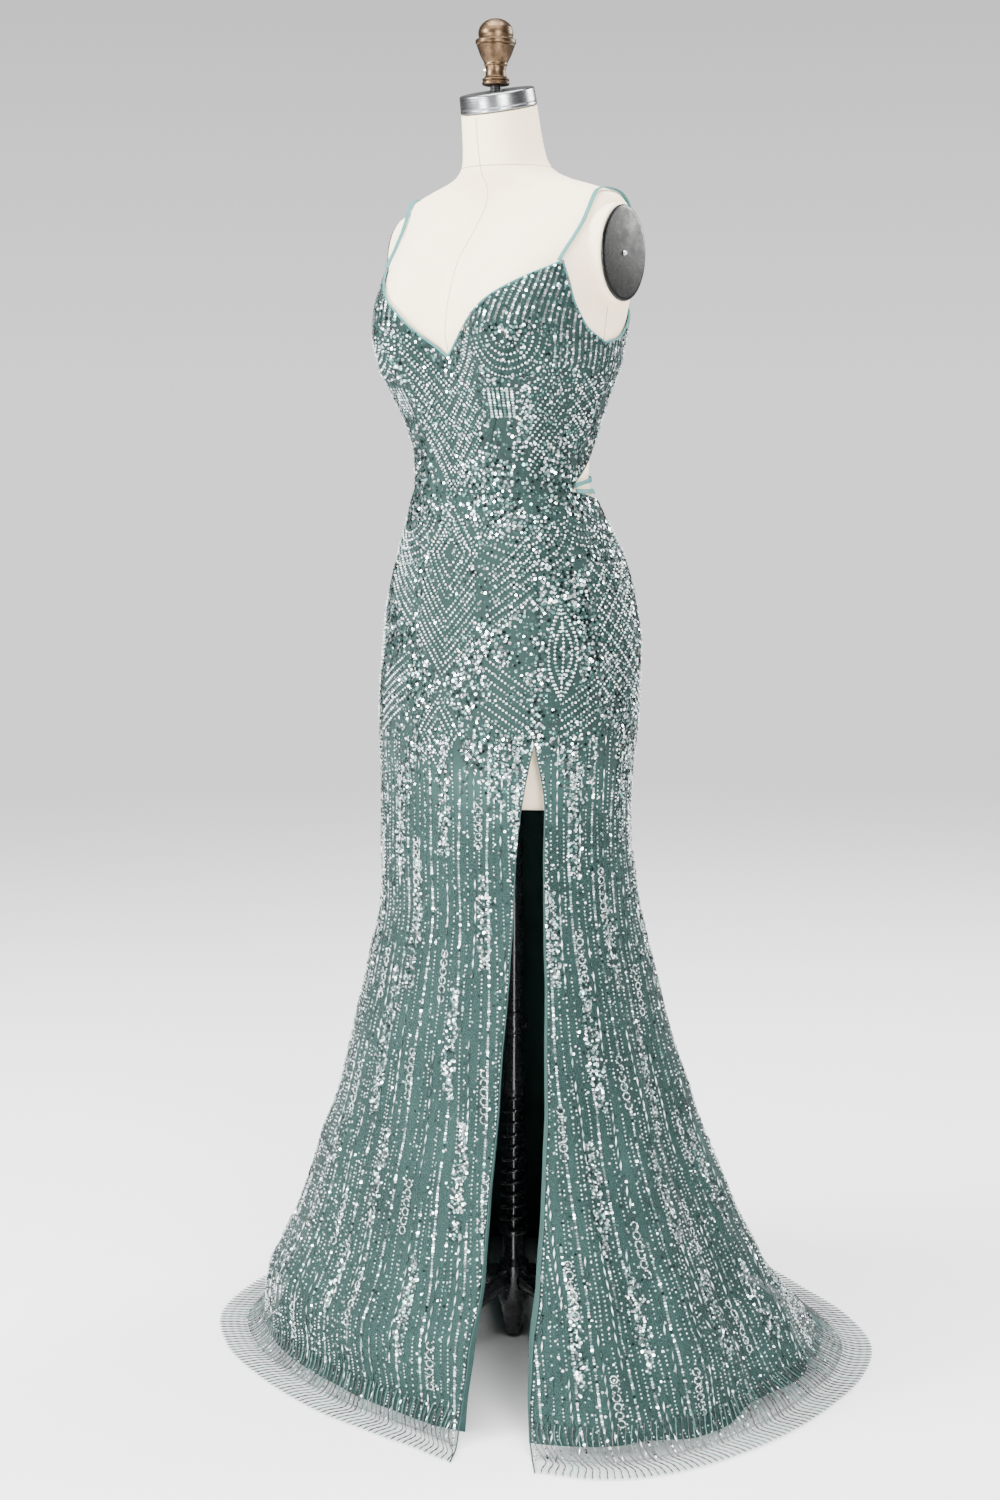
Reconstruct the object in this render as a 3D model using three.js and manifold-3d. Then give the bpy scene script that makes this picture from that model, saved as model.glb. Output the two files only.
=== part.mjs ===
// An evening gown of beaded tulle on a limbless dress form with a sprung iron stand.
// Units are millimetres and +Z is up. The model is laid out round the axis of the stand's pole, with
// the floor at z = 0, the front of the gown facing -Y and its wearer's left at +X. An angle on the
// cloth is in degrees from the front, positive towards +X. At the end the whole group is moved so
// that its origin is the middle of its own footprint on the floor.
import * as THREE from 'three';
import { mergeVertices } from 'three/addons/utils/BufferGeometryUtils.js';
import ManifoldModule from 'manifold-3d';

const wasm = await ManifoldModule();
wasm.setup();

// Driving dimensions
const CLOTH = 1.6;                 // beaded tulle with its backing
const LINING = 1.1;                // plain lining of the skirt
const SEAM_GAP = 0.3;              // clearance between neighbouring pieces
const CLEARANCE = 1.7;             // inside of the gown off the form
const WAIST_SEAM = 1136;           // height of the seam between bodice and skirt
const HIP = 943;                   // lowest height where the skirt follows the form
const SLIT_TOP = 836;
const SLIT_ANGLE = 43;             // seam of the front panels, which opens into the slit
const SIDE_SEAM = 90;
const LINING_TOP = 780;            // height from which tulle and lining hang apart
const LINING_HEM_INSET = 68;       // how far the lining's hem lies inside the tulle's
const STRAP_ANGLE = 56;            // where the straps start on the front neckline
const STRAP_TOP = 1412;
const STRAP_WIDTH = 6;
const STRAP_HUB = { y: 5, z: 1400 };  // the straps lie in planes that turn about this point
const TIE_WIDTH = 5;
const TIE_START = 87;              // angle at which the waist ties leave the side seams
const TIE_HEIGHT = 1140.2;         // height of the gap between the two ties there
const TIE_CLEARANCE = 2.7;
const SKIRT_POWER = 2.15;          // roundness of the skirt's ovals
const BODICE_SEAM_RADIUS = 130;    // about the distance of the bodice's seams from its middle
const LINING_SEAM_RADIUS = 150;    // and of the lining's
const BUST_APART = 88;             // half the distance between the cups
const BUST_SPREAD = 62;            // width of one cup's rounding
const CUP_EASE = 1.07;             // the gown's padded cups stand out more than the form's
const FORM_BOTTOM = 745;
const NECK_TILT = 13;              // forward lean of the neck cap in degrees
const CAP_RADIUS = 47.5;
const CAP_HEIGHT = 22;
const CAP_GAP = 0.6;               // between the neck and the cap
const CAP_BASE = { y: -24.5, z: 1601 };
const ARM_PLATE = { x: 167, y: 4, z: 1423.5, halfWidth: 46, halfHeight: 57.5, thickness: 3 };
const ARM_STUB = { root: 118, border: 3 };  // the padded stub starts inside and borders the plate
const ARM_SCREW = { headRadius: 2.4, footRadius: 3.4, height: 2 };
const FINIAL_BASE = 1629;
const FINIAL_FORWARD = 1.5;        // how far the finial stands in front of the cap's middle
const FINIAL_WAIST = 13;           // radius of the finial's slim lower body
const FINIAL_SCREW = { radius: 2.6, length: 4, rise: 20 };
const SPINDLE_RADIUS = 7;
const POLE_RADIUS = 11;
const POLE_Y = 7;                  // the stand's axis lies a little behind the middle of the form
const CLAMP = { z: 452, radius: 14, height: 30, handleTurn: -10 };
const SPRING = { bottom: 153, top: 338, lowRadius: 17.5, highRadius: 12.5, wire: 2, turns: 11 };
const HUB_RADIUS = 20;
const LEG_COUNT = 5;
const LEG_REACH = 205;
const LEG_TURN = -16;              // direction of the first leg, in degrees from +X
const FOOT = { topRadius: 14, radius: 17, height: 12 };

const COLOURS = {
  beadedTulle: 0x7fa8a2,
  lining: 0x5f8f88,
  satin: 0x8fc4c0,
  linen: 0xf3ece0,
  brushedSteel: 0xb9bbbd,
  darkSteel: 0x5d605f,
  brass: 0x8c7350,
  castIron: 0x232527,
};

// The dress form from its underside to the neck, by height. Each section is a rounded oval with
// different depths in front and behind: halfWidth, front, back, its centre's y, the power of the
// oval, how far the cups swell it, and the forward lean of the section in degrees.
const FORM_SECTIONS = [
  { z: 745, halfWidth: 150, front: 118, back: 110, centreY: -2, power: 2.15, cups: 0, lean: 0 },
  { z: 800, halfWidth: 160, front: 124, back: 116, centreY: -2, power: 2.15, cups: 0, lean: 0 },
  { z: 870, halfWidth: 168, front: 128, back: 124, centreY: -2, power: 2.15, cups: 0, lean: 0 },
  { z: 943, halfWidth: 172, front: 130, back: 131, centreY: 0, power: 2.15, cups: 0, lean: 0 },
  { z: 1008, halfWidth: 162, front: 122, back: 127, centreY: -2, power: 2.15, cups: 0, lean: 0 },
  { z: 1046, halfWidth: 151, front: 116, back: 122, centreY: -3, power: 2.15, cups: 0, lean: 0 },
  { z: 1084, halfWidth: 136, front: 109, back: 104, centreY: -6, power: 2.15, cups: 0, lean: 0 },
  { z: 1122, halfWidth: 121, front: 101, back: 92, centreY: -12, power: 2.15, cups: 0, lean: 0 },
  { z: 1148, halfWidth: 112, front: 98, back: 88, centreY: -14, power: 2.15, cups: 0, lean: 0 },
  { z: 1179, halfWidth: 113, front: 97, back: 92, centreY: -15, power: 2.15, cups: 0, lean: 0 },
  { z: 1217, halfWidth: 122, front: 102, back: 98, centreY: -15, power: 2.2, cups: 2, lean: 0 },
  { z: 1254, halfWidth: 134, front: 106, back: 104, centreY: -14, power: 2.25, cups: 15, lean: 0 },
  { z: 1292, halfWidth: 146, front: 100, back: 112, centreY: -11, power: 2.3, cups: 42, lean: 0 },
  { z: 1329, halfWidth: 151, front: 109, back: 120, centreY: -10, power: 2.3, cups: 45, lean: 0 },
  { z: 1362, halfWidth: 153, front: 110, back: 122, centreY: -6, power: 2.4, cups: 40, lean: 0 },
  { z: 1390, halfWidth: 155, front: 108, back: 118, centreY: -2, power: 2.5, cups: 28, lean: 0 },
  { z: 1415, halfWidth: 156, front: 102, back: 112, centreY: 0, power: 2.6, cups: 15, lean: 0 },
  { z: 1440, halfWidth: 157, front: 87, back: 103, centreY: 3, power: 2.6, cups: 5, lean: 0 },
  { z: 1462, halfWidth: 159, front: 72, back: 91, centreY: 5, power: 2.5, cups: 0, lean: 0 },
  { z: 1480, halfWidth: 160, front: 60, back: 77, centreY: 6, power: 2.4, cups: 0, lean: 0 },
  { z: 1493, halfWidth: 154, front: 52, back: 66, centreY: 4, power: 2.3, cups: 0, lean: 0 },
  { z: 1502, halfWidth: 136, front: 49, back: 59, centreY: 2, power: 2.2, cups: 0, lean: 0 },
  { z: 1510, halfWidth: 110, front: 48, back: 54, centreY: -2, power: 2.1, cups: 0, lean: 0 },
  { z: 1518, halfWidth: 82, front: 49, back: 51, centreY: -6, power: 2.05, cups: 0, lean: 2 },
  { z: 1527, halfWidth: 64, front: 50, back: 49, centreY: -10, power: 2, cups: 0, lean: 4 },
  { z: 1540, halfWidth: 54, front: 50, back: 49, centreY: -13, power: 2, cups: 0, lean: 6 },
  { z: 1560, halfWidth: 50, front: 49, back: 48, centreY: -17, power: 2, cups: 0, lean: 9 },
  { z: 1600.6, halfWidth: 46.5, front: 46.5, back: 46.5, centreY: -24.5, power: 2, cups: 0, lean: 13 },
];

// The outside of the skirt below the hip, by height, as the same kind of ovals with a centre of
// their own. Above the hip it follows the form.
const SKIRT_SECTIONS = [
  { z: 0, halfWidth: 432, front: 345, back: 432, centreX: 12, centreY: 10 },
  { z: 45, halfWidth: 392, front: 322, back: 345, centreX: 11, centreY: 9 },
  { z: 80, halfWidth: 364, front: 300, back: 310, centreX: 10, centreY: 8 },
  { z: 122, halfWidth: 338, front: 277, back: 276, centreX: 8, centreY: 6 },
  { z: 164, halfWidth: 317, front: 258, back: 260, centreX: 8, centreY: 7 },
  { z: 206, halfWidth: 297, front: 242, back: 242, centreX: 6, centreY: 5 },
  { z: 248, halfWidth: 280, front: 229, back: 228, centreX: 5, centreY: 4 },
  { z: 289, halfWidth: 265, front: 214, back: 217, centreX: 3, centreY: 1 },
  { z: 331, halfWidth: 247, front: 200, back: 203, centreX: 2, centreY: 2 },
  { z: 372, halfWidth: 236, front: 190, back: 193, centreX: 1, centreY: 2 },
  { z: 413, halfWidth: 224, front: 180, back: 182, centreX: 0, centreY: 0 },
  { z: 454, halfWidth: 213, front: 172, back: 171, centreX: 0, centreY: -1 },
  { z: 494, halfWidth: 202, front: 164, back: 164, centreX: 0, centreY: 0 },
  { z: 535, halfWidth: 193, front: 156, back: 155, centreX: 0, centreY: -1 },
  { z: 575, halfWidth: 182, front: 149, back: 148, centreX: 0, centreY: -1 },
  { z: 615, halfWidth: 176, front: 143, back: 139, centreX: 0, centreY: -3 },
  { z: 655, halfWidth: 174, front: 141, back: 132, centreX: 0, centreY: -6 },
  { z: 695, halfWidth: 172, front: 140, back: 121, centreX: 0, centreY: -8 },
  { z: 735, halfWidth: 171, front: 139, back: 121, centreX: 0, centreY: -8 },
  { z: 774, halfWidth: 172, front: 140, back: 124, centreX: 0, centreY: -7 },
  { z: 813, halfWidth: 174, front: 142, back: 128, centreX: 0, centreY: -6 },
  { z: 866, halfWidth: 176, front: 141, back: 135, centreX: 0, centreY: -4 },
  { z: 943, halfWidth: 175.3, front: 133.3, back: 134.3, centreX: 0, centreY: 0 },
];

// The tulle's hem on the floor: its reach from the pole's axis by the direction it lies in.
const HEM_OUTLINE = [
  { angle: -180, reach: 455 },
  { angle: -150, reach: 441 },
  { angle: -120, reach: 425 },
  { angle: -92, reach: 410 },
  { angle: -66, reach: 408 },
  { angle: -48, reach: 382 },
  { angle: -29, reach: 350 },
  { angle: -14, reach: 338 },
  { angle: 0, reach: 336 },
  { angle: 15, reach: 347 },
  { angle: 29, reach: 381 },
  { angle: 42, reach: 397 },
  { angle: 52, reach: 426 },
  { angle: 61, reach: 439 },
  { angle: 85, reach: 447 },
  { angle: 99, reach: 457 },
  { angle: 113, reach: 475 },
  { angle: 123, reach: 483 },
  { angle: 135, reach: 470 },
  { angle: 153, reach: 446 },
  { angle: 180, reach: 455 },
];

// Rows of the skirt's cloth from the waist seam to the hem. A row that has a share of the hem lies
// that far towards the hem's outline, moved inwards by its inset.
const SKIRT_ROWS = [
  { z: WAIST_SEAM, hemShare: 0, inset: 0 },
  { z: 1084, hemShare: 0, inset: 0 },
  { z: 1046, hemShare: 0, inset: 0 },
  { z: 1008, hemShare: 0, inset: 0 },
  { z: HIP, hemShare: 0, inset: 0 },
  { z: 890, hemShare: 0, inset: 0 },
  { z: SLIT_TOP, hemShare: 0, inset: 0 },
  { z: 780, hemShare: 0, inset: 0 },
  { z: 722, hemShare: 0, inset: 0 },
  { z: 662, hemShare: 0, inset: 0 },
  { z: 602, hemShare: 0, inset: 0 },
  { z: 540, hemShare: 0, inset: 0 },
  { z: 477, hemShare: 0, inset: 0 },
  { z: 413, hemShare: 0, inset: 0 },
  { z: 350, hemShare: 0, inset: 0 },
  { z: 289, hemShare: 0, inset: 0 },
  { z: 230, hemShare: 0, inset: 0 },
  { z: 175, hemShare: 0, inset: 0 },
  { z: 125, hemShare: 0, inset: 0 },
  { z: 82, hemShare: 0.15, inset: 110 },
  { z: 45, hemShare: 0.55, inset: 88 },
  { z: 16, hemShare: 0.92, inset: 58 },
  { z: CLOTH, hemShare: 1, inset: 30 },
  { z: CLOTH, hemShare: 1, inset: 0 },
];

// The two edges of the slit in the skirt's front, as angles on the skirt's ovals.
const SLIT_EDGES = [
  { z: 0, rightPanel: 18.5, leftPanel: 32.5 },
  { z: 120, rightPanel: 21, leftPanel: 34.6 },
  { z: 290, rightPanel: 24.5, leftPanel: 40.5 },
  { z: 440, rightPanel: 28, leftPanel: 44.5 },
  { z: 615, rightPanel: 33, leftPanel: 47.5 },
  { z: 745, rightPanel: 37.5, leftPanel: 49 },
  { z: SLIT_TOP, rightPanel: SLIT_ANGLE, leftPanel: SLIT_ANGLE },
];

// Soft folds of the skirt: where each lies, how wide it is, how far it stands out (or sinks in where
// it is negative) and the height where it starts.
const FOLDS = [
  { angle: -165, width: 9, depth: 12, top: 640 },
  { angle: -146, width: 7, depth: -10, top: 600 },
  { angle: -124, width: 9, depth: 13, top: 700 },
  { angle: -104, width: 7, depth: -11, top: 640 },
  { angle: -80, width: 9, depth: 10, top: 600 },
  { angle: -60, width: 7, depth: -9, top: 520 },
  { angle: -38, width: 9, depth: 7, top: 480 },
  { angle: -16, width: 8, depth: -6, top: 460 },
  { angle: 6, width: 9, depth: 6, top: 440 },
  { angle: 60, width: 6, depth: -9, top: 520 },
  { angle: 74, width: 7, depth: 9, top: 640 },
  { angle: 92, width: 7, depth: -14, top: 720 },
  { angle: 110, width: 8, depth: 13, top: 700 },
  { angle: 130, width: 7, depth: -11, top: 620 },
  { angle: 152, width: 9, depth: 12, top: 660 },
  { angle: 174, width: 7, depth: -9, top: 600 },
];
const FOLD_FULL_HEIGHT = 90;       // height at which every fold has its whole depth

// The lining hangs inside the tulle, further in as it nears the floor.
const LINING_ROWS = [
  { z: LINING_TOP, inside: 2.3 },
  { z: 722, inside: 4.5 },
  { z: 662, inside: 6 },
  { z: 540, inside: 10 },
  { z: 413, inside: 15 },
  { z: 289, inside: 21 },
  { z: 175, inside: 31 },
  { z: 82, inside: 44 },
  { z: 30, inside: 56 },
  { z: 2, inside: 66 },
];

// Edges of the bodice, as heights by angle on the form, alike on both sides.
const NECKLINE = [
  { angle: 0, z: 1300 },
  { angle: 4, z: 1313 },
  { angle: 10, z: 1328 },
  { angle: 22, z: 1361 },
  { angle: 38, z: 1391 },
  { angle: STRAP_ANGLE, z: STRAP_TOP },
];
const ARMHOLE = [
  { angle: STRAP_ANGLE, z: STRAP_TOP },
  { angle: 64, z: 1386 },
  { angle: 71, z: 1358 },
  { angle: 79, z: 1332 },
  { angle: 90, z: 1317 },
];
const BACK_NECK = [
  { angle: 90, z: 1317 },
  { angle: 103, z: 1324 },
  { angle: 120, z: 1346 },
  { angle: 142, z: 1366 },
  { angle: 160, z: 1356 },
  { angle: 180, z: 1350 },
];
const SIDE_HEM = [
  { angle: 20, z: WAIST_SEAM },
  { angle: 80, z: WAIST_SEAM },
  { angle: 84, z: 1139 },
  { angle: 87, z: 1146.6 },
  { angle: 90, z: 1152 },
];
const BACK_HEM = [
  { angle: 90, z: 1152 },
  { angle: 105, z: 1174 },
  { angle: 120, z: 1198 },
  { angle: 150, z: 1230 },
  { angle: 180, z: 1243 },
];
const SKIRT_TOP = [
  { angle: 0, z: WAIST_SEAM },
  { angle: 80, z: WAIST_SEAM },
  { angle: 88, z: 1134 },
  { angle: 120, z: 1123 },
  { angle: 180, z: 1114 },
];
// The strap's way over the shoulder: its swing about the hub, in degrees up from the front, and its
// distance from the middle of the form along its way.
const STRAP_ROUTE = {
  frontSwing: 8.2,
  backSwing: 195,
  sideways: [
    { t: 0, x: 135 },
    { t: 0.25, x: 142 },
    { t: 0.5, x: 146 },
    { t: 0.75, x: 128 },
    { t: 1, x: 104 },
  ],
};
// Seam between the bodice's centre front and its side fronts, as an angle by height.
const PRINCESS_SEAM = [
  { z: 1130, angle: 21 },
  { z: 1180, angle: 24 },
  { z: 1240, angle: 30 },
  { z: 1300, angle: 40 },
  { z: 1345, angle: 47 },
  { z: 1385, angle: 53 },
  { z: STRAP_TOP, angle: STRAP_ANGLE },
];

const radians = (degrees) => (degrees * Math.PI) / 180;
const mix = (a, b, t) => a + (b - a) * t;
const easeInOut = (t) => {
  const x = Math.min(1, Math.max(0, t));
  return x * x * (3 - 2 * x);
};

// Reads a column of a table at any value of its key, with slopes that never overshoot the rows.
function readTable(rows, key, column, at) {
  const last = rows.length - 1;
  if (at <= rows[0][key]) {
    return rows[0][column];
  }
  if (at >= rows[last][key]) {
    return rows[last][column];
  }
  let i = 0;
  while (rows[i + 1][key] < at) {
    i += 1;
  }
  const slope = (j) => (rows[j + 1][column] - rows[j][column]) / (rows[j + 1][key] - rows[j][key]);
  const tangent = (j) => {
    if (j === 0 || j === last) {
      return slope(Math.min(j, last - 1));
    }
    const before = slope(j - 1);
    const after = slope(j);
    return before * after <= 0 ? 0 : (2 * before * after) / (before + after);
  };
  const span = rows[i + 1][key] - rows[i][key];
  const t = (at - rows[i][key]) / span;
  const startWeight = (1 + 2 * t) * (1 - t) ** 2;
  const endWeight = t * t * (3 - 2 * t);
  const startBend = t * (1 - t) ** 2 * span * tangent(i);
  const endBend = t * t * (t - 1) * span * tangent(i + 1);
  return rows[i][column] * startWeight + rows[i + 1][column] * endWeight + startBend + endBend;
}

// A section of the form at a height, grown outwards by a clearance.
function formSection(z, grow) {
  const column = (name) => readTable(FORM_SECTIONS, 'z', name, z);
  return {
    halfWidth: column('halfWidth') + grow,
    front: column('front') + grow,
    back: column('back') + grow,
    centreX: 0,
    centreY: column('centreY'),
    power: column('power'),
    cups: column('cups') * (grow > 0 ? CUP_EASE : 1),
    lean: column('lean'),
  };
}

// How far the section reaches in front of its centre at a sideways distance x.
function frontDepth(section, x) {
  const across = Math.min(1, Math.abs(x) / section.halfWidth) ** (section.power / 2);
  const ahead = Math.sqrt(1 - across * across);
  const cup = (centre) => Math.exp(-(((x - centre) / BUST_SPREAD) ** 2));
  const swell = section.cups * (cup(BUST_APART) + cup(-BUST_APART)) * easeInOut(ahead / 0.45);
  return section.front * ahead ** (2 / section.power) + swell;
}

// The point of a section in the direction of an angle.
function sectionPoint(section, angle, z) {
  const across = Math.sin(radians(angle));
  const ahead = Math.cos(radians(angle));
  const offset = section.halfWidth * Math.sign(across) * Math.abs(across) ** (2 / section.power);
  const behind = section.back * Math.abs(ahead) ** (2 / section.power);
  const depth = ahead > 0 ? -frontDepth(section, offset) : behind;
  const height = z + Math.tan(radians(section.lean)) * depth;
  return new THREE.Vector3(section.centreX + offset, section.centreY + depth, height);
}

const formPoint = (angle, z, grow) => sectionPoint(formSection(z, grow), angle, z);

// How far the folds push the skirt out at an angle and a height.
function foldDepth(angle, z) {
  return FOLDS.reduce((sum, fold) => {
    const away = ((angle - fold.angle + 540) % 360) - 180;
    const fade = easeInOut((fold.top - z) / (fold.top - FOLD_FULL_HEIGHT));
    return sum + fold.depth * fade * Math.exp(-((away / fold.width) ** 2));
  }, 0);
}

// The outside of the skirt at a height.
function skirtPoint(angle, z) {
  if (z >= HIP) {
    return formPoint(angle, z, CLEARANCE + CLOTH);
  }
  const column = (name) => readTable(SKIRT_SECTIONS, 'z', name, z);
  const section = {
    halfWidth: column('halfWidth'),
    front: column('front'),
    back: column('back'),
    centreX: column('centreX'),
    centreY: column('centreY'),
    power: SKIRT_POWER,
    cups: 0,
    lean: 0,
  };
  const point = sectionPoint(section, angle, z);
  const outwards = new THREE.Vector3(Math.sin(radians(angle)), -Math.cos(radians(angle)), 0);
  return point.addScaledVector(outwards, foldDepth(angle, z));
}

// The outside of the skirt by row number, where the last rows run out onto the floor.
function skirtRowPoint(angle, rowNumber, topZ) {
  const rows = SKIRT_ROWS.map((row, number) => ({ ...row, number }));
  rows[0].z = topZ;
  const z = readTable(rows, 'number', 'z', rowNumber);
  const hemShare = readTable(rows, 'number', 'hemShare', rowNumber);
  const inset = readTable(rows, 'number', 'inset', rowNumber);
  const point = skirtPoint(angle, z);
  if (hemShare === 0) {
    return point;
  }
  const direction = Math.atan2(point.x, -point.y);
  const reach = readTable(HEM_OUTLINE, 'angle', 'reach', THREE.MathUtils.radToDeg(direction)) - inset;
  const hem = new THREE.Vector3(Math.sin(direction) * reach, -Math.cos(direction) * reach, z);
  return point.lerp(hem, hemShare);
}

// The lining's outside, which is the tulle's moved in towards the pole.
function liningPoint(angle, rowNumber) {
  const rows = LINING_ROWS.map((row, number) => ({ ...row, number }));
  const z = readTable(rows, 'number', 'z', rowNumber);
  const inside = readTable(rows, 'number', 'inside', rowNumber);
  const point = skirtPoint(angle, z);
  const direction = Math.atan2(point.x, -point.y);
  const reach = readTable(HEM_OUTLINE, 'angle', 'reach', THREE.MathUtils.radToDeg(direction));
  const radius = Math.min(Math.hypot(point.x, point.y) - inside, reach - LINING_HEM_INSET);
  return new THREE.Vector3(Math.sin(direction) * radius, -Math.cos(direction) * radius, z);
}

// A closed geometry from a list of triangles, turned so that its faces point outwards.
function closedGeometry(triangles) {
  let volume = 0;
  triangles.forEach(([a, b, c]) => {
    volume += a.dot(new THREE.Vector3().crossVectors(b, c));
  });
  const positions = [];
  triangles.forEach(([a, b, c]) => {
    const ordered = volume >= 0 ? [a, b, c] : [a, c, b];
    ordered.forEach((point) => positions.push(point.x, point.y, point.z));
  });
  const geometry = new THREE.BufferGeometry();
  geometry.setAttribute('position', new THREE.Float32BufferAttribute(positions, 3));
  return geometry;
}

// Two triangles between two neighbouring pairs of points.
const quad = (a, b, c, d) => [[a, b, c], [a, c, d]];

// A wall between an outer and an inner grid of points, closed along all four borders.
function wallGeometry(outer, inner) {
  const triangles = [];
  const rows = outer.length;
  const columns = outer[0].length;
  for (let i = 0; i < rows - 1; i += 1) {
    for (let j = 0; j < columns - 1; j += 1) {
      triangles.push(...quad(outer[i][j], outer[i + 1][j], outer[i + 1][j + 1], outer[i][j + 1]));
      triangles.push(...quad(inner[i][j], inner[i][j + 1], inner[i + 1][j + 1], inner[i + 1][j]));
    }
  }
  for (let j = 0; j < columns - 1; j += 1) {
    const end = rows - 1;
    triangles.push(...quad(outer[0][j], outer[0][j + 1], inner[0][j + 1], inner[0][j]));
    triangles.push(...quad(outer[end][j + 1], outer[end][j], inner[end][j], inner[end][j + 1]));
  }
  for (let i = 0; i < rows - 1; i += 1) {
    const end = columns - 1;
    triangles.push(...quad(outer[i + 1][0], outer[i][0], inner[i][0], inner[i + 1][0]));
    triangles.push(...quad(outer[i][end], outer[i + 1][end], inner[i + 1][end], inner[i][end]));
  }
  return closedGeometry(triangles);
}

// The points of a surface moved inwards along its own normal. The surface takes a column and a row
// number, and a point never sinks below the floor.
function insidePoint(surface, column, row, thickness) {
  const step = 0.02;
  const acrossStep = surface(column + step, row).sub(surface(column - step, row));
  const downStep = surface(column, row + step).sub(surface(column, row - step));
  const outwards = new THREE.Vector3().crossVectors(downStep, acrossStep).normalize();
  const point = surface(column, row).addScaledVector(outwards, -thickness);
  point.z = Math.max(0, point.z);
  return point;
}

// A cloth panel. The surface takes (column, row) and gives the outside of the cloth.
function clothPanel(surface, columns, rows, thickness) {
  const outer = [];
  const inner = [];
  for (let i = 0; i <= rows; i += 1) {
    outer.push([]);
    inner.push([]);
    for (let j = 0; j <= columns; j += 1) {
      outer[i].push(surface(j, i));
      inner[i].push(insidePoint(surface, j, i, thickness));
    }
  }
  return wallGeometry(outer, inner);
}

// Angle that is a seam allowance away from a seam, on cloth of about the given radius.
const seamInset = (radius) => THREE.MathUtils.radToDeg(SEAM_GAP / 2 / radius);

// A skirt panel between two seams, which are angles by height.
function skirtPanel(leftSeam, rightSeam, columns) {
  const surface = (column, row) => {
    const z = readTable(SKIRT_ROWS.map((r, number) => ({ z: r.z, number })), 'number', 'z', row);
    const radius = Math.hypot(skirtPoint(leftSeam(z), z).x, skirtPoint(leftSeam(z), z).y);
    const inset = seamInset(radius);
    const angle = mix(leftSeam(z) + inset, rightSeam(z) - inset, column / columns);
    const topZ = readTable(SKIRT_TOP, 'angle', 'z', Math.abs(angle)) - SEAM_GAP / 2;
    return skirtRowPoint(angle, row, topZ);
  };
  return clothPanel(surface, columns, SKIRT_ROWS.length - 1, CLOTH);
}

// A lining panel between two seams.
function liningPanel(leftSeam, rightSeam, columns) {
  const rows = LINING_ROWS.map((row, number) => ({ ...row, number }));
  const surface = (column, row) => {
    const z = readTable(rows, 'number', 'z', row);
    const inset = seamInset(LINING_SEAM_RADIUS);
    return liningPoint(mix(leftSeam(z) + inset, rightSeam(z) - inset, column / columns), row);
  };
  return clothPanel(surface, columns, LINING_ROWS.length - 1, LINING);
}

// A bodice panel between two seams, with its top and bottom edges given by angle. Each column runs
// from where it meets the top edge down to where it meets the bottom edge.
function bodicePanel(leftSeam, rightSeam, topEdge, bottomEdge, columns, rows) {
  const inset = seamInset(BODICE_SEAM_RADIUS);
  const angleAt = (across, z) => mix(leftSeam(z) + inset, rightSeam(z) - inset, across);
  const meet = (edge, across, start) => {
    let z = start;
    for (let pass = 0; pass < 20; pass += 1) {
      z = edge(angleAt(across, z));
    }
    return z;
  };
  const surface = (column, row) => {
    const across = column / columns;
    const top = meet(topEdge, across, STRAP_TOP);
    const bottom = meet(bottomEdge, across, WAIST_SEAM) + SEAM_GAP / 2;
    const z = mix(top, bottom, row / rows);
    return formPoint(angleAt(across, z), z, CLEARANCE + CLOTH);
  };
  return clothPanel(surface, columns, rows, CLOTH);
}

const slitRight = (z) => readTable(SLIT_EDGES, 'z', 'rightPanel', z);
const slitLeft = (z) => readTable(SLIT_EDGES, 'z', 'leftPanel', z);
const princess = (z) => readTable(PRINCESS_SEAM, 'z', 'angle', z);
const fixedSeam = (angle) => () => angle;
const edgeOf = (rows) => (angle) => readTable(rows, 'angle', 'z', Math.abs(angle));
const backEdgeOf = (rows) => (angle) => readTable(rows, 'angle', 'z', angle > 180 ? 360 - angle : angle);

// A solid loft through rings of points, closed by a fan at each end.
function loftGeometry(rings) {
  const triangles = [];
  const count = rings[0].length;
  const centre = (ring) => {
    const sum = ring.reduce((total, point) => total.add(point), new THREE.Vector3());
    return sum.divideScalar(ring.length);
  };
  const bottom = centre(rings[0]);
  const top = centre(rings[rings.length - 1]);
  for (let j = 0; j < count; j += 1) {
    const next = (j + 1) % count;
    for (let i = 0; i < rings.length - 1; i += 1) {
      triangles.push(...quad(rings[i][j], rings[i][next], rings[i + 1][next], rings[i + 1][j]));
    }
    triangles.push([bottom, rings[0][next], rings[0][j]]);
    triangles.push([top, rings[rings.length - 1][j], rings[rings.length - 1][next]]);
  }
  return closedGeometry(triangles);
}

// A round turned piece from rows of height and radius, each of which may lean forwards.
function turnedGeometry(rows, segments, centreY) {
  const rings = rows.map((row) => {
    const ring = [];
    for (let j = 0; j < segments; j += 1) {
      const turn = (2 * Math.PI * j) / segments;
      const y = Math.sin(turn) * row.radius;
      const z = row.z + Math.tan(radians(row.lean ?? 0)) * y;
      ring.push(new THREE.Vector3(Math.cos(turn) * row.radius, centreY + y, z));
    }
    return ring;
  });
  return loftGeometry(rings);
}

function toManifold(geometry) {
  const bare = geometry.clone();
  bare.deleteAttribute('normal');
  bare.deleteAttribute('uv');
  const merged = mergeVertices(bare, 1e-4);
  return new wasm.Manifold(new wasm.Mesh({
    numProp: 3,
    vertProperties: new Float32Array(merged.attributes.position.array),
    triVerts: new Uint32Array(merged.index.array),
  }));
}

function fromManifold(solid) {
  const mesh = solid.getMesh();
  const geometry = new THREE.BufferGeometry();
  geometry.setAttribute('position', new THREE.BufferAttribute(mesh.vertProperties, 3));
  geometry.setIndex(new THREE.BufferAttribute(mesh.triVerts, 1));
  return geometry;
}

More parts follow.
